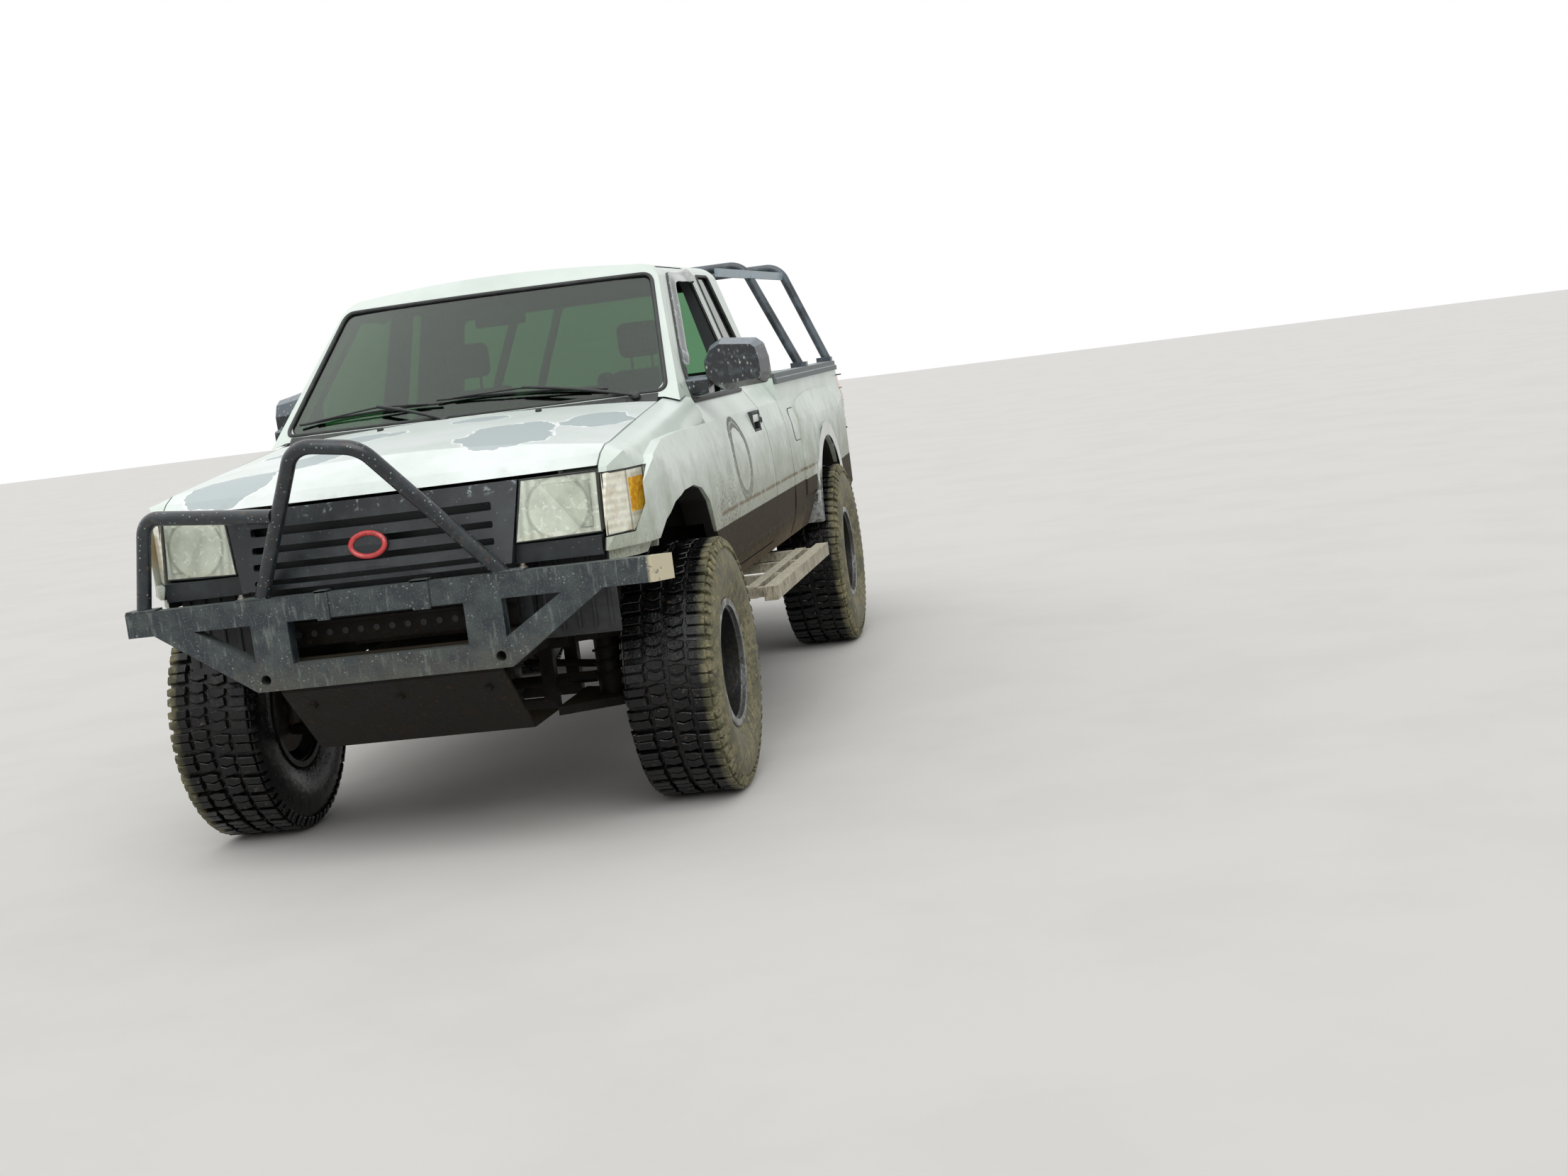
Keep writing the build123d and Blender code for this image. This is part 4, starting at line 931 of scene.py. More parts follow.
def finish_piece(name, mesh, body, finish):
    """Close the mesh, bring it into the frame and let it ride on a body."""
    bmesh.ops.remove_doubles(mesh, verts=mesh.verts, dist=CLOSE_MM)
    bmesh.ops.recalc_face_normals(mesh, faces=mesh.faces)
    bmesh.ops.transform(mesh, matrix=TO_FRAME, verts=mesh.verts)
    for face in mesh.faces:
        face.smooth = True
    for edge in mesh.edges:
        edge.smooth = edge.calc_face_angle(0) < SHARP
    data = bpy.data.meshes.new(name)
    mesh.to_mesh(data)
    mesh.free()
    data.materials.append(finish)
    piece = bpy.data.objects.new(name, data)
    bpy.context.scene.collection.objects.link(piece)
    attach(piece, body)
    print(name, len(data.polygons), "faces on", body)
    return piece


# %% [markdown]
# A piece that sits on a panel needs that panel's exact place, so a ray is shot at the CAD
# node's mesh. The search tree of a node is built once and kept.

# %% Where a piece touches the CAD
AHEAD, BESIDE, ABOVE = -1000, 1200, 1500  # where rays start: s, x and z outside the truck
BACKWARDS, INWARDS, DOWN = (0, 1, 0), (-1, 0, 0), (0, 0, -1)
trees = {}


def touch(node, start, direction):
    """Where a ray from `start` along `direction` first meets a CAD node, in mm."""
    if node not in trees:
        data = nodes[node].data
        trees[node] = BVHTree.FromPolygons([v.co.copy() for v in data.vertices],
                                           [tuple(p.vertices) for p in data.polygons])
    at = trees[node].ray_cast(place(*start), Vector(direction))[0]
    if at is None:
        raise ValueError(f"nothing of {node} there")
    return TO_FRAME.inverted() @ at


print("hood over the axle at", round(touch("hood", (0, 0, ABOVE), DOWN).z), "mm")

# %% [markdown]
# ## Soft panels
#
# The CAD draws a fender from flat faces, but pressed steel bends softly. A copy of the panel
# is cut into small cells and its points are relaxed, all but those on the panel's own edges,
# so every crease turns into a bend of a few centimetres and the form stays.

# %% Softened fenders
CELL = 24  # mm
FLAT = math.radians(1)
PANEL_EDGE = math.radians(50)  # a fold above this is the panel's edge and stays
RELAX_ROUNDS = 8


def soften(node, finish, body):
    """Piece with a CAD panel's form and softly bent creases, which stands for the panel."""
    mesh = bmesh.new()
    mesh.from_mesh(nodes[node].data)
    bmesh.ops.transform(mesh, matrix=TO_FRAME.inverted(), verts=mesh.verts)
    bmesh.ops.remove_doubles(mesh, verts=mesh.verts, dist=0.05)
    bmesh.ops.dissolve_limit(mesh, angle_limit=FLAT, verts=mesh.verts, edges=mesh.edges)
    for axis in Matrix.Identity(3):
        places = [vert.co.dot(axis) for vert in mesh.verts]
        low, high = min(places), max(places)
        for number in range(1, int((high - low) / CELL) + 1):
            bmesh.ops.bisect_plane(mesh, geom=mesh.verts[:] + mesh.edges[:] + mesh.faces[:], dist=0.01,
                                   plane_co=axis * (low + number * CELL), plane_no=axis)
    held = {vert for edge in mesh.edges if edge.calc_face_angle(0) > PANEL_EDGE for vert in edge.verts}
    free = [vert for vert in mesh.verts if vert not in held]
    for _ in range(RELAX_ROUNDS):
        bmesh.ops.smooth_vert(mesh, verts=free, factor=0.5, use_axis_x=True, use_axis_y=True,
                              use_axis_z=True)
    piece = finish_piece(node.replace("_", "_skin_"), mesh, body, finish)
    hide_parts(node)


for name in ("left", "right"):
    soften("fender_" + name, body_paint, "chassis")

# %% [markdown]
# ## Tyres
#
# A mud tyre is a smooth rubber carcass with rows of thick blocks: long shoulder blocks that
# reach down the walls, and staggered blocks between them with a zigzag groove. The carcass
# is a profile spun about the axle. One pitch of blocks is drawn as small plates, then spun
# round with duplication, which keeps each block simple.

# %% Tyres
TYRE_X = 760
# distance from the tyre's middle, and radius
CARCASS = [(-118, 199), (-126, 206), (-136, 232), (-148, 262), (-156, 292), (-157, 318), (-153, 346),
           (-146, 368), (-136, 388), (-120, 398), (-60, 401), (0, 402), (60, 401), (120, 398),
           (136, 388), (146, 368), (153, 346), (157, 318), (156, 292), (148, 262), (136, 232),
           (126, 206), (118, 199)]
PITCHES = 34
LUG_FOOT = 394  # radius that the blocks start from, just inside the carcass
LUG_HEIGHT = 21
STAGGER = 20  # how far one side's blocks lie behind the other's
# corners of the blocks of one pitch: distance from the middle, and distance round the tread
BLOCKS = [
    [(72, -31), (131, -33), (131, -4), (76, -2)],
    [(76, 2), (131, 0), (131, 27), (70, 29)],
    [(6, -26), (34, -33), (62, -24), (58, 4), (30, -4), (10, 4)],
    [(10, 9), (32, 1), (60, 9), (64, 30), (34, 36), (8, 32)],
]
# the same for the bars on the shoulder, but from their place there and down it
SHOULDER = [[(0, -30), (0, -6), (13, -8), (13, -28)], [(0, 3), (0, 25), (13, 23), (13, 5)]]
SHOULDER_AT = (126, 404)  # distance from the middle, and radius
SHOULDER_FALL = (0.9, -2.2)  # how both change down the shoulder


def draw_tyre(name, side, s):
    """One dressed tyre, which replaces the CAD's plain one."""
    mesh = bmesh.new()
    add_turned(mesh, CARCASS, (0, 0, 0), (1, 0, 0), steps=80)
    blocks = bmesh.new()
    for flip, late in ((1, 0), (-1, STAGGER)):
        for corners in BLOCKS:
            outline = [(flip * x, along + late, LUG_FOOT) for x, along in corners]
            add_plate(blocks, outline[::flip], (0, 0, LUG_HEIGHT), bevel=2.2)
        for corners in SHOULDER:
            outline = [(flip * (SHOULDER_AT[0] + down * SHOULDER_FALL[0]), along + late,
                        SHOULDER_AT[1] + down * SHOULDER_FALL[1]) for down, along in corners]
            add_plate(blocks, outline[::flip], (flip * 13, 0, 4), bevel=2.0)
    whole = blocks.verts[:] + blocks.edges[:] + blocks.faces[:]
    bmesh.ops.spin(blocks, geom=whole, cent=(0, 0, 0), axis=(1, 0, 0),
                   angle=math.tau * (PITCHES - 1) / PITCHES, steps=PITCHES - 1, use_duplicate=True)
    lugs = bpy.data.meshes.new("lugs")
    blocks.to_mesh(lugs)
    blocks.free()
    mesh.from_mesh(lugs)
    bpy.data.meshes.remove(lugs)
    bmesh.ops.translate(mesh, verts=mesh.verts, vec=(side * TYRE_X, s, AXLE_Z))
    piece = finish_piece("tread_" + name, mesh, "wheel_" + name, tyre_rubber)
    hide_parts("tyre_" + name)


WHEELS = [("front_left", 1, 0), ("front_right", -1, 0), ("rear_left", 1, WHEELBASE),
          ("rear_right", -1, WHEELBASE)]
for name, side, s in WHEELS:
    draw_tyre(name, side, s)

# %% [markdown]
# ## Wheels
#
# Each cast rim gets what makes it read as a wheel: a rounded bright lip over the edge, six
# lug nuts on their circle, a centre cap and a valve. The nuts are six-sided cones, bevelled
# a little, because a sharp edge never catches the light.

# %% Wheel trim
NUTS = 6
NUT_CIRCLE = 69.85  # radius of the ring of nuts
DISC_FACE_X = 731  # outer face of the rim's disc
LIP_X = 885
LIP = [(0, 196), (0, 209), (3, 212), (7, 212), (10, 209), (10, 199), (7, 196)]  # along, radius
CAP = [(-2, 0), (-2, 34), (18, 33), (26, 28), (29, 18), (30, 0)]
for name, side, s in WHEELS:
    mesh = bmesh.new()
    add_turned(mesh, LIP, (side * LIP_X, s, AXLE_Z), (side, 0, 0), steps=72)
    add_turned(mesh, CAP, (side * DISC_FACE_X, s, AXLE_Z), (side, 0, 0), steps=24)
    finish_piece("rim_lip_" + name, mesh, "wheel_" + name, rim_alloy)
    mesh = bmesh.new()
    turn = Matrix.Rotation(side * math.pi / 2, 4, "Y")
    for number in range(NUTS):
        angle = math.tau * (number + 0.5) / NUTS
        nut = bmesh.ops.create_cone(mesh, cap_ends=True, segments=6, radius1=11, radius2=9.5, depth=22)
        at = Vector((side * (DISC_FACE_X + 10), s + NUT_CIRCLE * math.cos(angle),
                     AXLE_Z + NUT_CIRCLE * math.sin(angle)))
        bmesh.ops.transform(mesh, matrix=Matrix.Translation(at) @ turn, verts=nut["verts"])
    bmesh.ops.bevel(mesh, geom=mesh.edges[:], offset=1.2, segments=1, profile=0.5, affect="EDGES",
                    material=-1)
    finish_piece("lug_nuts_" + name, mesh, "wheel_" + name, zinc_bolt)

# %% [markdown]
# ## Coil springs
#
# The front dampers carry coil springs. A coil is a circle that is spun about an upright axis
# while it climbs, which the spin operator does in one go when it is given a rise per step.

# %% Coil springs
COIL_X, COIL_FOOT, COIL_HEIGHT = 480, 400, 290
COIL_RADIUS = 50
COIL_TURNS = 7
COIL_STEPS = 24  # in each turn
mesh = bmesh.new()
for side in (-1, 1):
    wire = bmesh.ops.create_circle(mesh, cap_ends=False, segments=8, radius=5)
    foot = Vector((side * COIL_X, 0, COIL_FOOT))
    stand = Matrix.Translation(foot + Vector((COIL_RADIUS, 0, 0))) @ Matrix.Rotation(math.pi / 2, 4, "X")
    bmesh.ops.transform(mesh, matrix=stand, verts=wire["verts"])
    edges = list({edge for vert in wire["verts"] for edge in vert.link_edges})
    bmesh.ops.spin(mesh, geom=wire["verts"] + edges, cent=foot, axis=(0, 0, 1),
                   dvec=(0, 0, COIL_HEIGHT / COIL_TURNS / COIL_STEPS), angle=math.tau * COIL_TURNS,
                   steps=COIL_STEPS * COIL_TURNS)
finish_piece("coil_springs", mesh, "chassis", chassis_paint)

# %% [markdown]
# ## Seals round the windows
#
# Every fixed pane sits in a black rubber bead. A bead follows its window's outline, which is
# a short list of corners. Points set a little before and after each corner keep the straight
# runs straight and let the spline round the corner.

# %% Window outlines and their surfaces
WINDSHIELD = [(-698, 1322), (698, 1322), (590, 1744), (-590, 1744)]  # x and z
DOOR_WINDOW = [(585, 1274), (645, 1392), (1075, 1740), (1486, 1742), (1536, 1274)]  # s and z
QUARTER_WINDOW = [(1645, 1296), (1622, 1738), (1858, 1738), (1968, 1296)]
REAR_WINDOW = [(-560, 1345), (560, 1345), (500, 1700), (-500, 1700)]
SCREEN_BOW = 2500  # s of the upright line that the windshield bows round
SCREEN_FOOT = (318, 1325)  # s and z of its foot, in the truck's middle
SCREEN_RISE = 0.838  # how much it rises for each mm rearwards
SCREEN_OUT = Vector((0, -0.642, 0.766))  # away from the windshield
BELT = (752, 1268)  # x and z of the belt line
SIDE_LEAN = 0.2934  # how much the side leans in for each mm above it
REAR_FOOT = (2080, 1290)  # s and z of the rear window's foot
REAR_LEAN = 0.0683


def screen_point(x, z, out=0.0):
    """Point of the windshield's bowed surface at x and z, or `out` mm ahead of it."""
    radius = SCREEN_BOW - SCREEN_FOOT[0] - (z - SCREEN_FOOT[1]) / SCREEN_RISE
    return Vector((x, SCREEN_BOW - math.sqrt(radius ** 2 - x ** 2), z)) + SCREEN_OUT * out


def side_point(s, z, out=0.0):
    """Point of the cab's side above the belt line, on the driver's side."""
    return Vector((BELT[0] - (z - BELT[1]) * SIDE_LEAN + out, s, z))


def rear_point(x, z):
    """Point of the cab's back."""
    return Vector((x, REAR_FOOT[0] - (z - REAR_FOOT[1]) * REAR_LEAN, z))


def rounded(corners, reach, step=220):
    """Corners of a closed outline, each with a point before and after it, and points between."""
    points = []
    for before, corner, after in zip(corners[-1:] + corners[:-1], corners, corners[1:] + corners[:1]):
        here, last, following = Vector(corner), Vector(before), Vector(after)
        points.append(here + (last - here).normalized() * reach)
        points.append(here)
        points.append(here + (following - here).normalized() * reach)
        run = (following - here).length - 2 * reach
        for number in range(1, int(run / step) + 1):
            share = reach + run * number / (int(run / step) + 1)
            points.append(here + (following - here).normalized() * share)
    return points


print("windshield's top at s", round(screen_point(0, WINDSHIELD[-1][1]).y), "mm")

# %% Window seals
SIDES = [("left", 1), ("right", -1)]
mesh = bmesh.new()
add_rod(mesh, [screen_point(x, z) for x, z in rounded(WINDSHIELD, 70)], 8, closed=True)
add_rod(mesh, [rear_point(x, z) for x, z in rounded(REAR_WINDOW, 80)], 7, closed=True)
finish_piece("windshield_seal", mesh, "chassis", seal_rubber)

mesh = bmesh.new()
add_rod(mesh, [side_point(s, z) for s, z in rounded(QUARTER_WINDOW, 52)], 6, closed=True)
mirrored(mesh)
finish_piece("quarter_window_seals", mesh, "chassis", seal_rubber)

for name, side in SIDES:
    mesh = bmesh.new()
    outline = [side_point(s, z, -1) for s, z in rounded(DOOR_WINDOW, 60)]
    add_rod(mesh, [(side * x, s, z) for x, s, z in outline], 6, closed=True)
    finish_piece("door_seal_" + name, mesh, name + "_door", seal_rubber)

# %% [markdown]
# ## Cowl and wipers
#
# Under the windshield lies a black louvred cowl, and on it the two wipers are parked. The
# cowl starts as a grid whose points are laid on the windshield's surface, so it bows with it.
# Each wiper is a spring arm that reaches from its pivot to the middle of a long blade.

# %% Cowl
COWL_Z = 1297
COWL_HALF = (672, 17)  # half its width and half its height
LOUVRE_PITCH = 50
LOUVRE_TILT = Matrix.Rotation(math.radians(40), 4, "X")
mesh = bmesh.new()
grid = bmesh.ops.create_grid(mesh, x_segments=24, y_segments=2, size=1)
for vert in grid["verts"]:
    vert.co = screen_point(vert.co.x * COWL_HALF[0], COWL_Z + vert.co.y * COWL_HALF[1], 3)
bmesh.ops.solidify(mesh, geom=mesh.faces[:], thickness=3)
for number in range(-12, 13):
    if number % 4:  # three louvres, then a gap
        x, s, z = screen_point(number * LOUVRE_PITCH, COWL_Z, 5)
        add_block(mesh, (x - 20, x + 20), (s - 11, s + 11), (z - 2, z + 2), 1.2, LOUVRE_TILT)
finish_piece("cowl_vent", mesh, "chassis", seal_rubber)

# %% Wipers
# pivot, middle of the blade and its two ends, each as x and z on the windshield
WIPERS = [((600, 1306), (205, 1376), (-110, 1380), (500, 1346)),
          ((-62, 1306), (-330, 1372), (-648, 1352), (-90, 1368))]
mesh = bmesh.new()
for pivot, middle, tip, tail in WIPERS:
    pivot, middle, tip, tail = (Vector(at) for at in (pivot, middle, tip, tail))
    add_rod(mesh, [screen_point(*tip, 7), screen_point(*middle, 8), screen_point(*tail, 7)], 4.5)
    spine = [screen_point(*tip.lerp(middle, 0.2), 9), screen_point(*tip.lerp(middle, 0.75), 17),
             screen_point(*middle, 20), screen_point(*tail.lerp(middle, 0.75), 17),
             screen_point(*tail.lerp(middle, 0.2), 9)]
    add_rod(mesh, spine, 3.5)
    halfway = (pivot + middle) / 2 + Vector((0, 4))
    add_rod(mesh, [screen_point(*pivot, 14), screen_point(*halfway, 30), screen_point(*middle, 22)], 6)
    add_turned(mesh, [(-8, 0), (-8, 17), (14, 16), (20, 10), (21, 0)], screen_point(*pivot, 2),
               SCREEN_OUT, steps=20)
finish_piece("wipers", mesh, "chassis", seal_rubber)

# %% [markdown]
# ## Inner mirror and washer jets
#
# The inner mirror hangs from the windshield's header. Two small washer jets sit on the
# hood, and a ray that is shot down at it finds how high.

# %% Inner mirror and washer jets
mesh = bmesh.new()
add_block(mesh, (-76, 118), (838, 862), (1622, 1692), 10, Matrix.Rotation(math.radians(-6), 4, "X"))
add_rod(mesh, [(21, 850, 1662), (21, 842, 1700), (21, 850, 1736)], 7)
finish_piece("inner_mirror", mesh, "chassis", cab_plastic)

mesh = bmesh.new()
for x, s in ((300, 200), (-262, 196)):
    z = touch("hood", (x, s, ABOVE), DOWN).z
    add_block(mesh, (x - 9, x + 9), (s - 13, s + 13), (z - 3, z + 9), 4)
finish_piece("washer_jets", mesh, "front_lid", seal_rubber)

# %% [markdown]
# ## Rain visors
#
# A smoked visor is stuck round the front and top edge of each door's window. It is a strip
# that leans out from the frame: a grid of points, in which one side follows the window's
# edge and the other lies further in and stands away from the glass.

# %% Rain visors
# s and z on the frame, then s and z of the free edge
VISOR = [((668, 1400), (704, 1398)), ((742, 1474), (784, 1456)), ((850, 1562), (888, 1536)),
         ((960, 1650), (992, 1618)), ((1040, 1714), (1062, 1682)), ((1088, 1744), (1100, 1706)),
         ((1200, 1751), (1204, 1712)), ((1350, 1752), (1350, 1714)), ((1500, 1750), (1496, 1724))]
VISOR_OUT = (1, 8, 14, 18)  # how far each row stands out
columns, rows = len(VISOR) - 1, len(VISOR_OUT) - 1
for name, side in SIDES:
    mesh = bmesh.new()
    grid = bmesh.ops.create_grid(mesh, x_segments=columns, y_segments=rows, size=1)
    for vert in grid["verts"]:
        frame_edge, free_edge = VISOR[round((vert.co.x + 1) / 2 * columns)]
        row = round((vert.co.y + 1) / 2 * rows)
        s, z = Vector(frame_edge).lerp(Vector(free_edge), row / rows)
        at = side_point(s, z, VISOR_OUT[row])
        vert.co = (side * at.x, at.y, at.z)
    bmesh.ops.solidify(mesh, geom=mesh.faces[:], thickness=3)
    bmesh.ops.subdivide_edges(mesh, edges=mesh.edges[:], cuts=1, smooth=0.6, use_grid_fill=True)
    finish_piece("rain_visor_" + name, mesh, name + "_door", smoked_plastic)

# %% [markdown]
# ## Doors
#
# The pull handle is a body-coloured paddle in a black bezel, set in the pocket that the CAD
# leaves for it, with the key lock behind. A rubber strip closes the belt line, the mirror
# has its glass, and the inside gets a grained panel with an armrest.

# %% Door trim
# x, s and z of the blocks that frame the handle's pocket, the last one its floor
BEZEL = [((800, 822), (1348, 1362), (1098, 1182)), ((800, 822), (1502, 1516), (1098, 1182)),
         ((800, 822), (1350, 1514), (1098, 1110)), ((800, 819), (1350, 1514), (1170, 1182)),
         ((800, 804), (1360, 1504), (1106, 1176))]
KEY_LOCK = [(-6, 0), (-6, 13), (4, 12), (6, 8), (6, 0)]  # along, radius
PADDLE = [(1366, 1138), (1498, 1138), (1500, 1150), (1494, 1168), (1370, 1168), (1364, 1150)]
SAIL = [(592, 1276), (592, 1292), (650, 1392), (668, 1392), (668, 1276)]  # the mirror's foot


def draw_bezel(mesh):
    for x, s, z in BEZEL:
        add_block(mesh, x, s, z, 2.5)
    add_turned(mesh, KEY_LOCK, (816, 1556, 1140), (1, 0, 0), 20)


def draw_paddle(mesh):
    add_plate(mesh, [(808, s, z) for s, z in PADDLE], (12, 0, 0), 4, 2)


def draw_belt_strip(mesh):
    add_block(mesh, (750, 762), (592, 1534), (1262, 1276), 4)
    add_plate(mesh, [side_point(s, z, -3) for s, z in SAIL], (9, 0, 0), 2)


def draw_panel(mesh):
    """Panel, armrest and map pocket."""
    add_block(mesh, (720, 729), (560, 1500), (760, 1180), 4)
    add_block(mesh, (668, 722), (820, 1320), (968, 1012), 16)
    add_block(mesh, (690, 722), (640, 1240), (800, 880), 12)


DOOR_TRIM = [("handle_bezel_", draw_bezel, seal_rubber, "black_plastic"),
             ("handle_paddle_", draw_paddle, body_paint, "body_paint"),
             ("belt_strip_", draw_belt_strip, seal_rubber, "black_plastic"),
             ("door_panel_", draw_panel, cab_plastic, "interior")]
for name, side in SIDES:
    for piece_name, draw, finish, slot in DOOR_TRIM:
        mesh = bmesh.new()
        draw(mesh)
        bmesh.ops.scale(mesh, vec=(side, 1, 1), verts=mesh.verts)
        finish_piece(piece_name + name, mesh, name + "_door", finish)

# %% Mirror glass
mesh = bmesh.new()
add_block(mesh, (834, 990), (704, 708), (1325, 1445), 1.4)
finish_piece("mirror_glass_left", mesh, "left_door", mirror_glass)

# %% [markdown]
# ## Lamp frames and dashboard
#
# A thin black gasket runs round each headlamp and corner lamp. Rays that are shot at points
# just inside the lens give its depth there, and the gasket then lies a little further out.
# On the dashboard sit a hood over the instruments and a row of air vents.

# %% Lamp gaskets
# x and z of a point inside the lens, and how far outside it the gasket lies
LENS_EDGE = [((476, 1121), (-8, 8)), ((580, 1121), (0, 8)), ((682, 1120), (8, 8)), ((682, 1040), (8, 0)),
             ((682, 958), (8, -8)), ((566, 957), (0, -8)), ((450, 957), (-9, -8)), ((462, 1040), (-8, 0))]
# the same for the corner lamp, up to the x where rays from ahead still meet it
CORNER_EDGE = [((x, 1114), (0, 4)) for x in (703, 725, 745, 760, 766, 774, 786)] + [
    ((786, 1060), (0, 0)), ((786, 1014), (0, 0)), ((781, 981), (0, -4)), ((765, 941), (0, -4)),
    ((735, 938), (0, -4)), ((703, 938), (0, -4))]
for name, node, edge, radius in (("headlamp_gaskets", "headlamps", LENS_EDGE, 3.5),
                                 ("corner_lamp_gaskets", "corner_lamps", CORNER_EDGE, 2.5)):
    mesh = bmesh.new()
    points = [touch(node, (x, AHEAD, z), BACKWARDS) + Vector((out_x, 0, out_z))
              for (x, z), (out_x, out_z) in edge]
    add_rod(mesh, points, radius, closed=True, bends=False)
    mirrored(mesh)
    finish_piece(name, mesh, "chassis", seal_rubber)

# %% Dashboard fittings
mesh = bmesh.new()
add_block(mesh, (200, 500), (800, 905), (1150, 1215), 22)
slat_tilt = Matrix.Rotation(math.radians(25), 4, "X")
for x in (-520, -60, 60, 560):
    for z in range(1070, 1134, 16):
        add_block(mesh, (x - 55, x + 55), (884, 900), (z, z + 8), 2.5, slat_tilt)
finish_piece("dashboard_fittings", mesh, "chassis", cab_plastic)

# %% [markdown]
# ## Badge and fuel door
#
# The grille's oval boss carries a plain red ring. The fuel door is a thin skin that follows
# the side of the bed: its points are found by casting rays at the CAD, so it bends with it.

# %% Badge
BOSS = (2, 997)  # middle of the boss, x and z
BADGE_HALF = (54, 35)
BADGE_POINTS = 16
mesh = bmesh.new()
ring = []
for number in range(BADGE_POINTS):
    angle = math.tau * number / BADGE_POINTS
    x = BOSS[0] + BADGE_HALF[0] * math.cos(angle)
    z = BOSS[1] + BADGE_HALF[1] * math.sin(angle)
    ring.append(touch("grille", (x, AHEAD, z), BACKWARDS) + Vector((0, -2, 0)))
add_rod(mesh, ring, 8, closed=True)
finish_piece("badge_ring", mesh, "chassis", red_enamel)

# %% Fuel door
SKIN_STEPS = (16, 10)


def add_skin(mesh, node, s, z, corner, lift, thickness):
    """Skin with rounded corners that lies on the left side of a CAD node, `lift` mm proud."""
    grid = bmesh.ops.create_grid(mesh, x_segments=SKIN_STEPS[0], y_segments=SKIN_STEPS[1], size=1)
    half_s, half_z = (s[1] - s[0]) / 2, (z[1] - z[0]) / 2
    for vert in grid["verts"]:
        along, up = vert.co.x * half_s, vert.co.y * half_z
        over = Vector((max(abs(along) - half_s + corner, 0), max(abs(up) - half_z + corner, 0)))
        if over.length > corner:
            over *= 1 - corner / over.length
            along -= math.copysign(over.x, along)
            up -= math.copysign(over.y, up)
        at = touch(node, (BESIDE, (s[0] + s[1]) / 2 + along, (z[0] + z[1]) / 2 + up), INWARDS)
        vert.co = at + Vector((lift, 0, 0))
    faces = list({face for vert in grid["verts"] for face in vert.link_faces})
    bmesh.ops.solidify(mesh, geom=faces, thickness=thickness)


mesh = bmesh.new()
add_skin(mesh, "bed", (2250, 2420), (1010, 1150), 26, 1.0, 6)
finish_piece("fuel_door_edge", mesh, "chassis", seal_rubber)
mesh = bmesh.new()
add_skin(mesh, "bed", (2254, 2416), (1014, 1146), 24, 2.5, 6)
finish_piece("fuel_door", mesh, "chassis", body_paint)

# %% [markdown]
# ## Bumper, hoop and skid plate
#
# Two tabs are welded over the bumper's top bar, plates carry the hoop's feet, and bolts hold
# the skid plate. A bolt is a washer and a six-sided head. Behind the bumper's opening runs
# the pressed crossmember with its row of holes.

# %% Bolts
# each bolt's place and direction; the skid plate's lie 3 mm ahead of it, square to its slope
HOOP_BOLTS = [((x, -772, 880), (0, 0, 1)) for x in (-418, -338, 387, 463)]
SKID_BOLTS = [(touch("skid_plate", (x, AHEAD - 100, 520), BACKWARDS) - Vector((0, 3, 0)), (0, -1, -0.6))
              for x in (-280, 0, 280)]


def add_bolt(mesh, at, direction, width):
    """Hexagon bolt head on a washer, at a point and along a direction."""
    direction = Vector(direction).normalized()
    turn = Vector((0, 0, 1)).rotation_difference(direction).to_matrix().to_4x4()
    spot = Matrix.Translation(Vector(at)) @ turn
    washer = bmesh.ops.create_cone(mesh, cap_ends=True, segments=20, radius1=width * 0.82,
                                   radius2=width * 0.78, depth=5)
    head = bmesh.ops.create_cone(mesh, cap_ends=True, segments=6, radius1=width * 0.56,
                                 radius2=width * 0.50, depth=20)
    bmesh.ops.transform(mesh, matrix=spot, verts=washer["verts"] + head["verts"])


for name, bolts, width, finish in (("hoop_bolts", HOOP_BOLTS, 14, zinc_bolt),
                                   ("skid_plate_bolts", SKID_BOLTS, 18, chassis_paint)):
    mesh = bmesh.new()
    for at, direction in bolts:
        add_bolt(mesh, at, direction, width)
    finish_piece(name, mesh, "chassis", finish)

# %% Bumper tabs
mesh = bmesh.new()
for low, high in ((-177, -136), (122, 178)):
    add_block(mesh, (low, high), (-806, -796), (790, 880), 2)
    add_block(mesh, (low, high), (-806, -742), (871, 880), 2)
for low, high in ((377, 473), (-426, -330), (-780, -684)):
    add_block(mesh, (low, high), (-802, -748), (871, 878), 2)
finish_piece("bumper_tabs", mesh, "chassis", bumper_paint)

# %% Splash shields
mesh = bmesh.new()
for low, high in ((440, 690), (-690, -440)):
    add_block(mesh, (low, high), (-606, -594), (640, 946), 3)
    for number in range(5):
        rib = low + 25 + number * 50
        add_block(mesh, (rib - 6, rib + 6), (-612, -600), (660, 930), 3)
finish_piece("splash_shields", mesh, "chassis", seal_rubber)

# %% Crossmember
mesh = bmesh.new()
add_block(mesh, (-400, 400), (-664, -652), (700, 772), 3)
add_block(mesh, (-400, 400), (-676, -652), (764, 776), 3)
finish_piece("crossmember", mesh, "chassis", chassis_paint)
HOLE_RIM = [(0, 5), (0, 10), (3, 10), (3, 5)]  # along, radius
HOLE = [(0, 0), (0, 8), (1, 8), (1, 0)]
mesh = bmesh.new()
for x in range(-350, 400, 50):
    add_turned(mesh, HOLE_RIM, (x, -667, 738), BACKWARDS, 14)
    add_turned(mesh, HOLE, (x, -666, 738), BACKWARDS, 14)
finish_piece("crossmember_holes", mesh, "chassis", seal_rubber)

# %% [markdown]
# ## Seats
#
# The seats are cloth over foam, so they are blown up instead of drawn. Each pad starts as a
# slightly small rounded block, gets an even mesh, and swells as simulated cloth under a
# little pressure. Its sewn channels are drawn in afterwards, because they are narrower than
# the mesh that the simulation runs on.

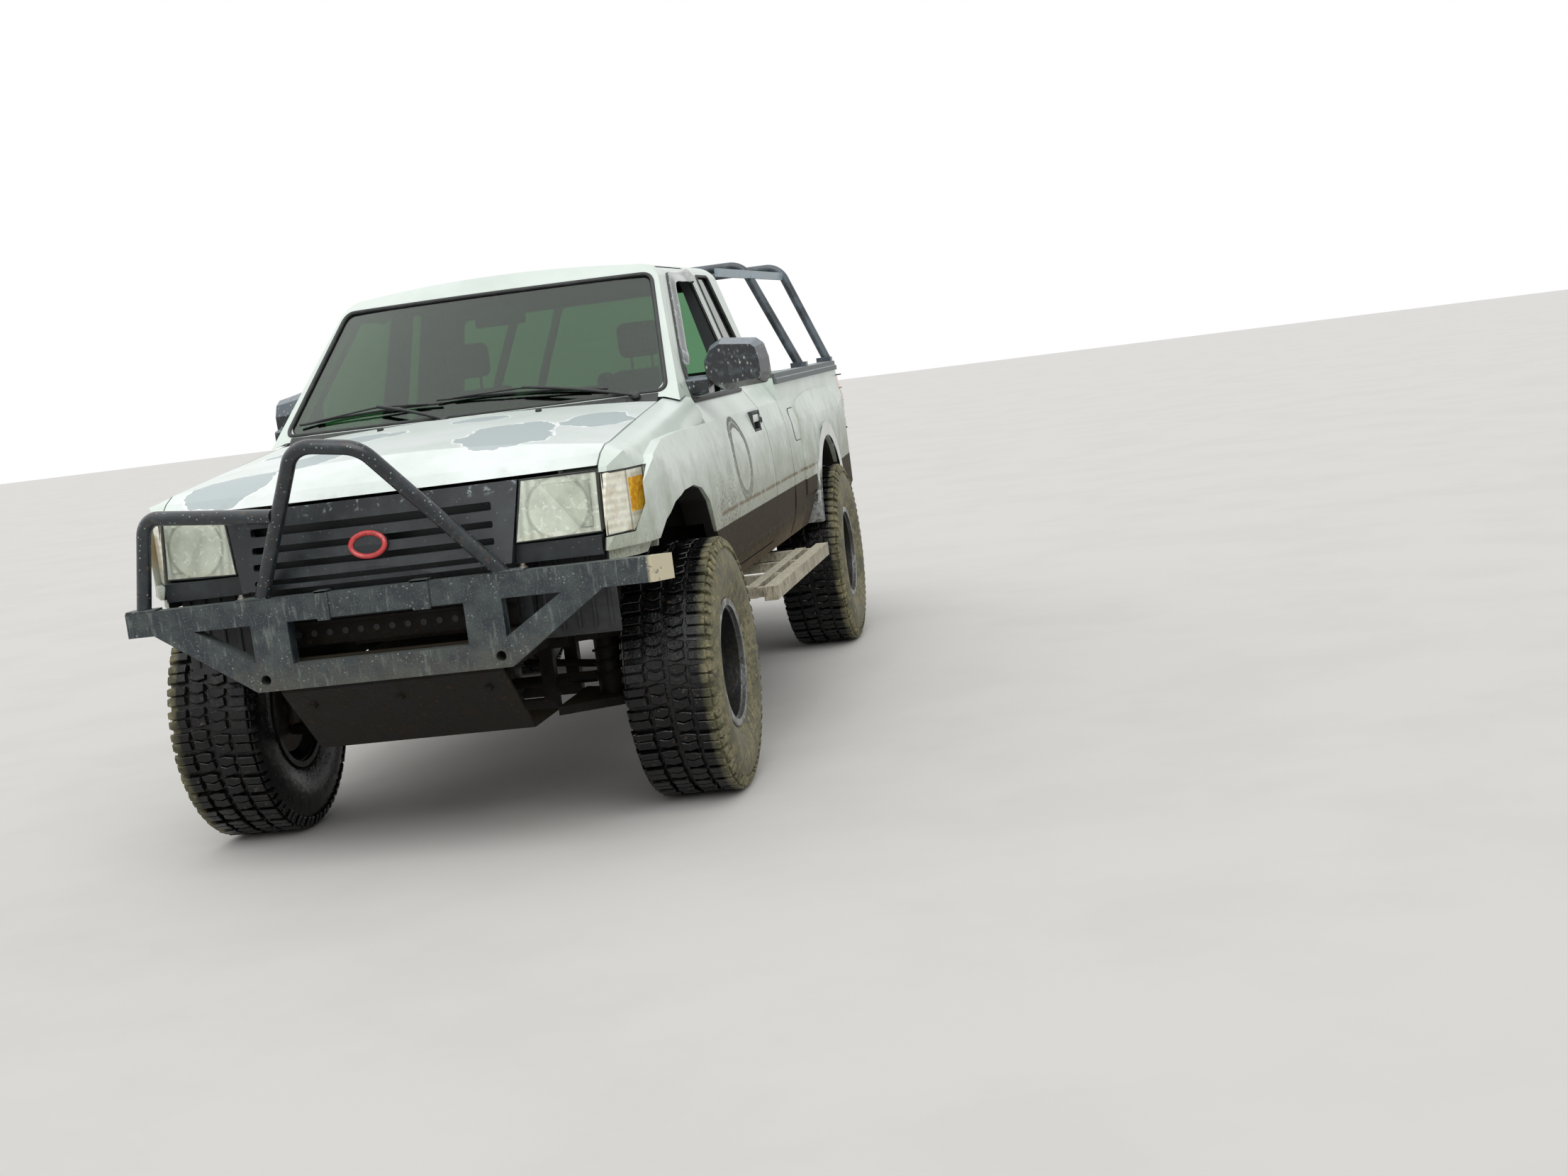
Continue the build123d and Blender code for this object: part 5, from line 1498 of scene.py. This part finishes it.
# %% Stuffed pads
EVEN_MM = 12
CLOTH_FRAMES = 20
PRESSURE = 4
CHANNEL_WIDTH = 11  # mm
CHANNEL_DEPTH = 0.013  # metres
# name, size as x, s and z, corner radius, lean, most that it may swell, channels, and which
# way the channels run: 0 counts them across the truck, 2 counts them up the backrest
PADS = [
    ("seat_cushion", (150, 570), (1100, 1520), (716, 895), 36, 0, 24, (245, 475), 0),
    ("seat_back", (158, 562), (1496, 1592), (880, 1425), 36, -6, 24, (245, 475), 0),
    ("headrest", (270, 450), (1566, 1626), (1446, 1588), 26, 0, 14, (), 0),
]
BENCH = ("rear_bench", (-575, 575), (1806, 2000), (706, 940), 40, 0, 20, (-200, 200), 0)


def swell(pad, most):
    """Blow a pad up as cloth under pressure; no point moves more than `most` metres."""
    even = pad.modifiers.new("even mesh", "REMESH")
    even.mode = "VOXEL"
    even.voxel_size = EVEN_MM / 1000
    seen = pad.evaluated_get(bpy.context.evaluated_depsgraph_get())
    pad.data = bpy.data.meshes.new_from_object(seen)
    pad.modifiers.clear()
    cloth = pad.modifiers.new("stuffing", "CLOTH")
    cloth.settings.use_pressure = True
    cloth.settings.uniform_pressure_force = PRESSURE
    cloth.settings.effector_weights.gravity = 0
    for step in range(1, CLOTH_FRAMES + 1):
        bpy.context.scene.frame_set(step)
    seen = pad.evaluated_get(bpy.context.evaluated_depsgraph_get())
    blown = bpy.data.meshes.new_from_object(seen)
    pad.modifiers.clear()
    bpy.context.scene.frame_set(1)
    for vert, first in zip(blown.vertices, pad.data.vertices):
        move = vert.co - first.co
        if move.length > most:
            vert.co = first.co + move * (most / move.length)
    pad.data = blown


def stuffed(name, x, s, z, corner, lean, most, channels, across):
    """Padded piece: a block that is swollen, then drawn in along its channels."""
    mesh = bmesh.new()
    add_block(mesh, x, s, z, corner, Matrix.Rotation(math.radians(lean), 4, "X"))
    bmesh.ops.transform(mesh, matrix=TO_FRAME, verts=mesh.verts)
    data = bpy.data.meshes.new(name)
    mesh.to_mesh(data)
    mesh.free()
    pad = bpy.data.objects.new(name, data)
    bpy.context.scene.collection.objects.link(pad)
    swell(pad, most / 1000)
    drawn = bmesh.new()
    drawn.from_mesh(pad.data)
    drawn.normal_update()
    pulls = []
    for vert in drawn.verts:
        at = TO_FRAME.inverted() @ vert.co
        pull = sum(math.exp(-((at[across] - channel) / CHANNEL_WIDTH) ** 2) for channel in channels)
        pulls.append(pull * CHANNEL_DEPTH)
    for vert, pull in zip(drawn.verts, pulls):
        vert.co -= vert.normal * pull
    bmesh.ops.recalc_face_normals(drawn, faces=drawn.faces)
    for face in drawn.faces:
        face.smooth = True
    drawn.to_mesh(pad.data)
    drawn.free()
    return pad


def seat_piece(pad):
    """Give a pad its cloth and let it stand for the CAD's plain seats."""
    pad.data.materials.clear()
    pad.data.materials.append(seat_cloth)
    finer = pad.modifiers.new("finer", "SUBSURF")
    finer.levels = 1
    finer.render_levels = 1
    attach(pad, "chassis")
    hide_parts("seats")
    print(pad.name, len(pad.data.polygons), "faces")


for name, *pad_values in PADS:
    left = stuffed(name + "_left", *pad_values)
    right = bpy.data.objects.new(name + "_right", left.data.copy())
    bpy.context.scene.collection.objects.link(right)
    turned = bmesh.new()
    turned.from_mesh(right.data)
    bmesh.ops.scale(turned, vec=(-1, 1, 1), verts=turned.verts)
    bmesh.ops.recalc_face_normals(turned, faces=turned.faces)
    turned.to_mesh(right.data)
    turned.free()
    seat_piece(left)
    seat_piece(right)
seat_piece(stuffed(*BENCH))

# %% Headrest posts
mesh = bmesh.new()
for x in (318, 402):
    add_rod(mesh, [(x, 1596, 1380), (x, 1598, 1500)], 6, bends=False)
mirrored(mesh)
finish_piece("headrest_posts", mesh, "chassis", zinc_bolt)

# %% [markdown]
# ## Bed and rear
#
# A ribbed liner lies on the bed's floor. The tailgate has a black handle in its middle, and
# the rear bumper carries a ribbed rubber step.

# %% Bed liner
RIB_PITCH = 62
floor_z = touch("bed", (0, 3000, ABOVE), DOWN).z
print("bed floor at", round(floor_z), "mm")
mesh = bmesh.new()
for x in range(-7 * RIB_PITCH, 8 * RIB_PITCH, RIB_PITCH):
    add_block(mesh, (x - 14, x + 14), (2140, 4040), (floor_z - 3, floor_z + 9), 4)
finish_piece("bed_liner_ribs", mesh, "chassis", cap_plastic)

# %% Tailgate handle and step pad
mesh = bmesh.new()
for x, z in (((-112, -98), (1128, 1204)), ((98, 112), (1128, 1204)), ((-110, 110), (1126, 1140)),
             ((-110, 110), (1192, 1206)), ((-100, 100), (1150, 1188))):
    add_block(mesh, x, (4116, 4130), z, 3)
finish_piece("tailgate_handle", mesh, "rear_gate", seal_rubber)

mesh = bmesh.new()
add_block(mesh, (-300, 300), (4180, 4310), (758, 766), 3)
for s in range(4190, 4310, 15):
    add_block(mesh, (-290, 290), (s, s + 7), (764, 770), 1.5)
finish_piece("step_pad", mesh, "chassis", seal_rubber)

# %% Tail-lamp bezels and blank plate
mesh = bmesh.new()
for x, z in (((706, 712), (954, 1236)), ((706, 822), (1230, 1236)), ((706, 822), (954, 960))):
    add_block(mesh, x, (4120, 4144), z, 1.5)
for z in (1036, 1100, 1166):
    add_block(mesh, (712, 818), (4138, 4143), (z - 2, z + 2), 1)
mirrored(mesh)
finish_piece("tail_lamp_bezels", mesh, "chassis", seal_rubber)

mesh = bmesh.new()
add_block(mesh, (-155, 155), (4326, 4330), (668, 748), 1.5)
finish_piece("blank_plate", mesh, "chassis", hoop_paint)

# %% [markdown]
# ## Floor and light
#
# A pale floor and a pale surround, lit from above and the front by two very soft lamps, let
# the colours read as they were written. The camera, and what shows in glass and metal, see a
# white surround, while its light on the truck stays moderate, so that pale paint doesn't clip.

# %% Floor
mesh = bmesh.new()
bmesh.ops.create_grid(mesh, x_segments=1, y_segments=1, size=60)
floor_data = bpy.data.meshes.new("floor")
mesh.to_mesh(floor_data)
mesh.free()
floor = bpy.data.objects.new("floor", floor_data)
bpy.context.scene.collection.objects.link(floor)
floor_finish = new_finish("floor_paint_pale")
lay_coats(floor_finish, "C9C8C5", 0.9, [(patchy(floor_finish, 900), "C6C5C1", 0.9)])
floor_data.materials.append(floor_finish)

# %% Light
SURROUND_GLOW = 0.44  # what the surround gives matt surfaces; seen directly it is white
world = bpy.data.worlds.new("studio")
world.use_nodes = True
ray = add_node(world, "ShaderNodeLightPath").outputs
seen = add_node(world, "ShaderNodeMath", {0: ray["Is Camera Ray"], 1: ray["Is Glossy Ray"]},
                operation="MAXIMUM").outputs[0]
seen = add_node(world, "ShaderNodeMath", {0: seen, 1: ray["Is Transmission Ray"]},
                operation="MAXIMUM").outputs[0]
glow = add_node(world, "ShaderNodeMapRange", {"Value": seen, "To Min": SURROUND_GLOW})
background = world.node_tree.nodes["Background"]
background.inputs["Color"].default_value = (1, 1, 1, 1)
world.node_tree.links.new(glow.outputs[0], background.inputs["Strength"])
bpy.context.scene.world = world
bpy.context.scene.view_settings.view_transform = "Standard"

# name, where it shines from, strength and spread in degrees
LAMPS = [("key", (1500, -3800, 6200), 2.2, 60), ("fill", (-3000, 2500, 6500), 0.78, 90)]
for lamp_name, at, strength, spread in LAMPS:
    lamp_data = bpy.data.lights.new(lamp_name, "SUN")
    lamp_data.energy = strength
    lamp_data.angle = math.radians(spread)
    lamp = bpy.data.objects.new(lamp_name, lamp_data)
    lamp.location = place(*at)
    lamp.rotation_euler = (place(0, 1200, 700) - lamp.location).to_track_quat("-Z", "Y").to_euler()
    bpy.context.scene.collection.objects.link(lamp)
print(len(LAMPS), "lamps")
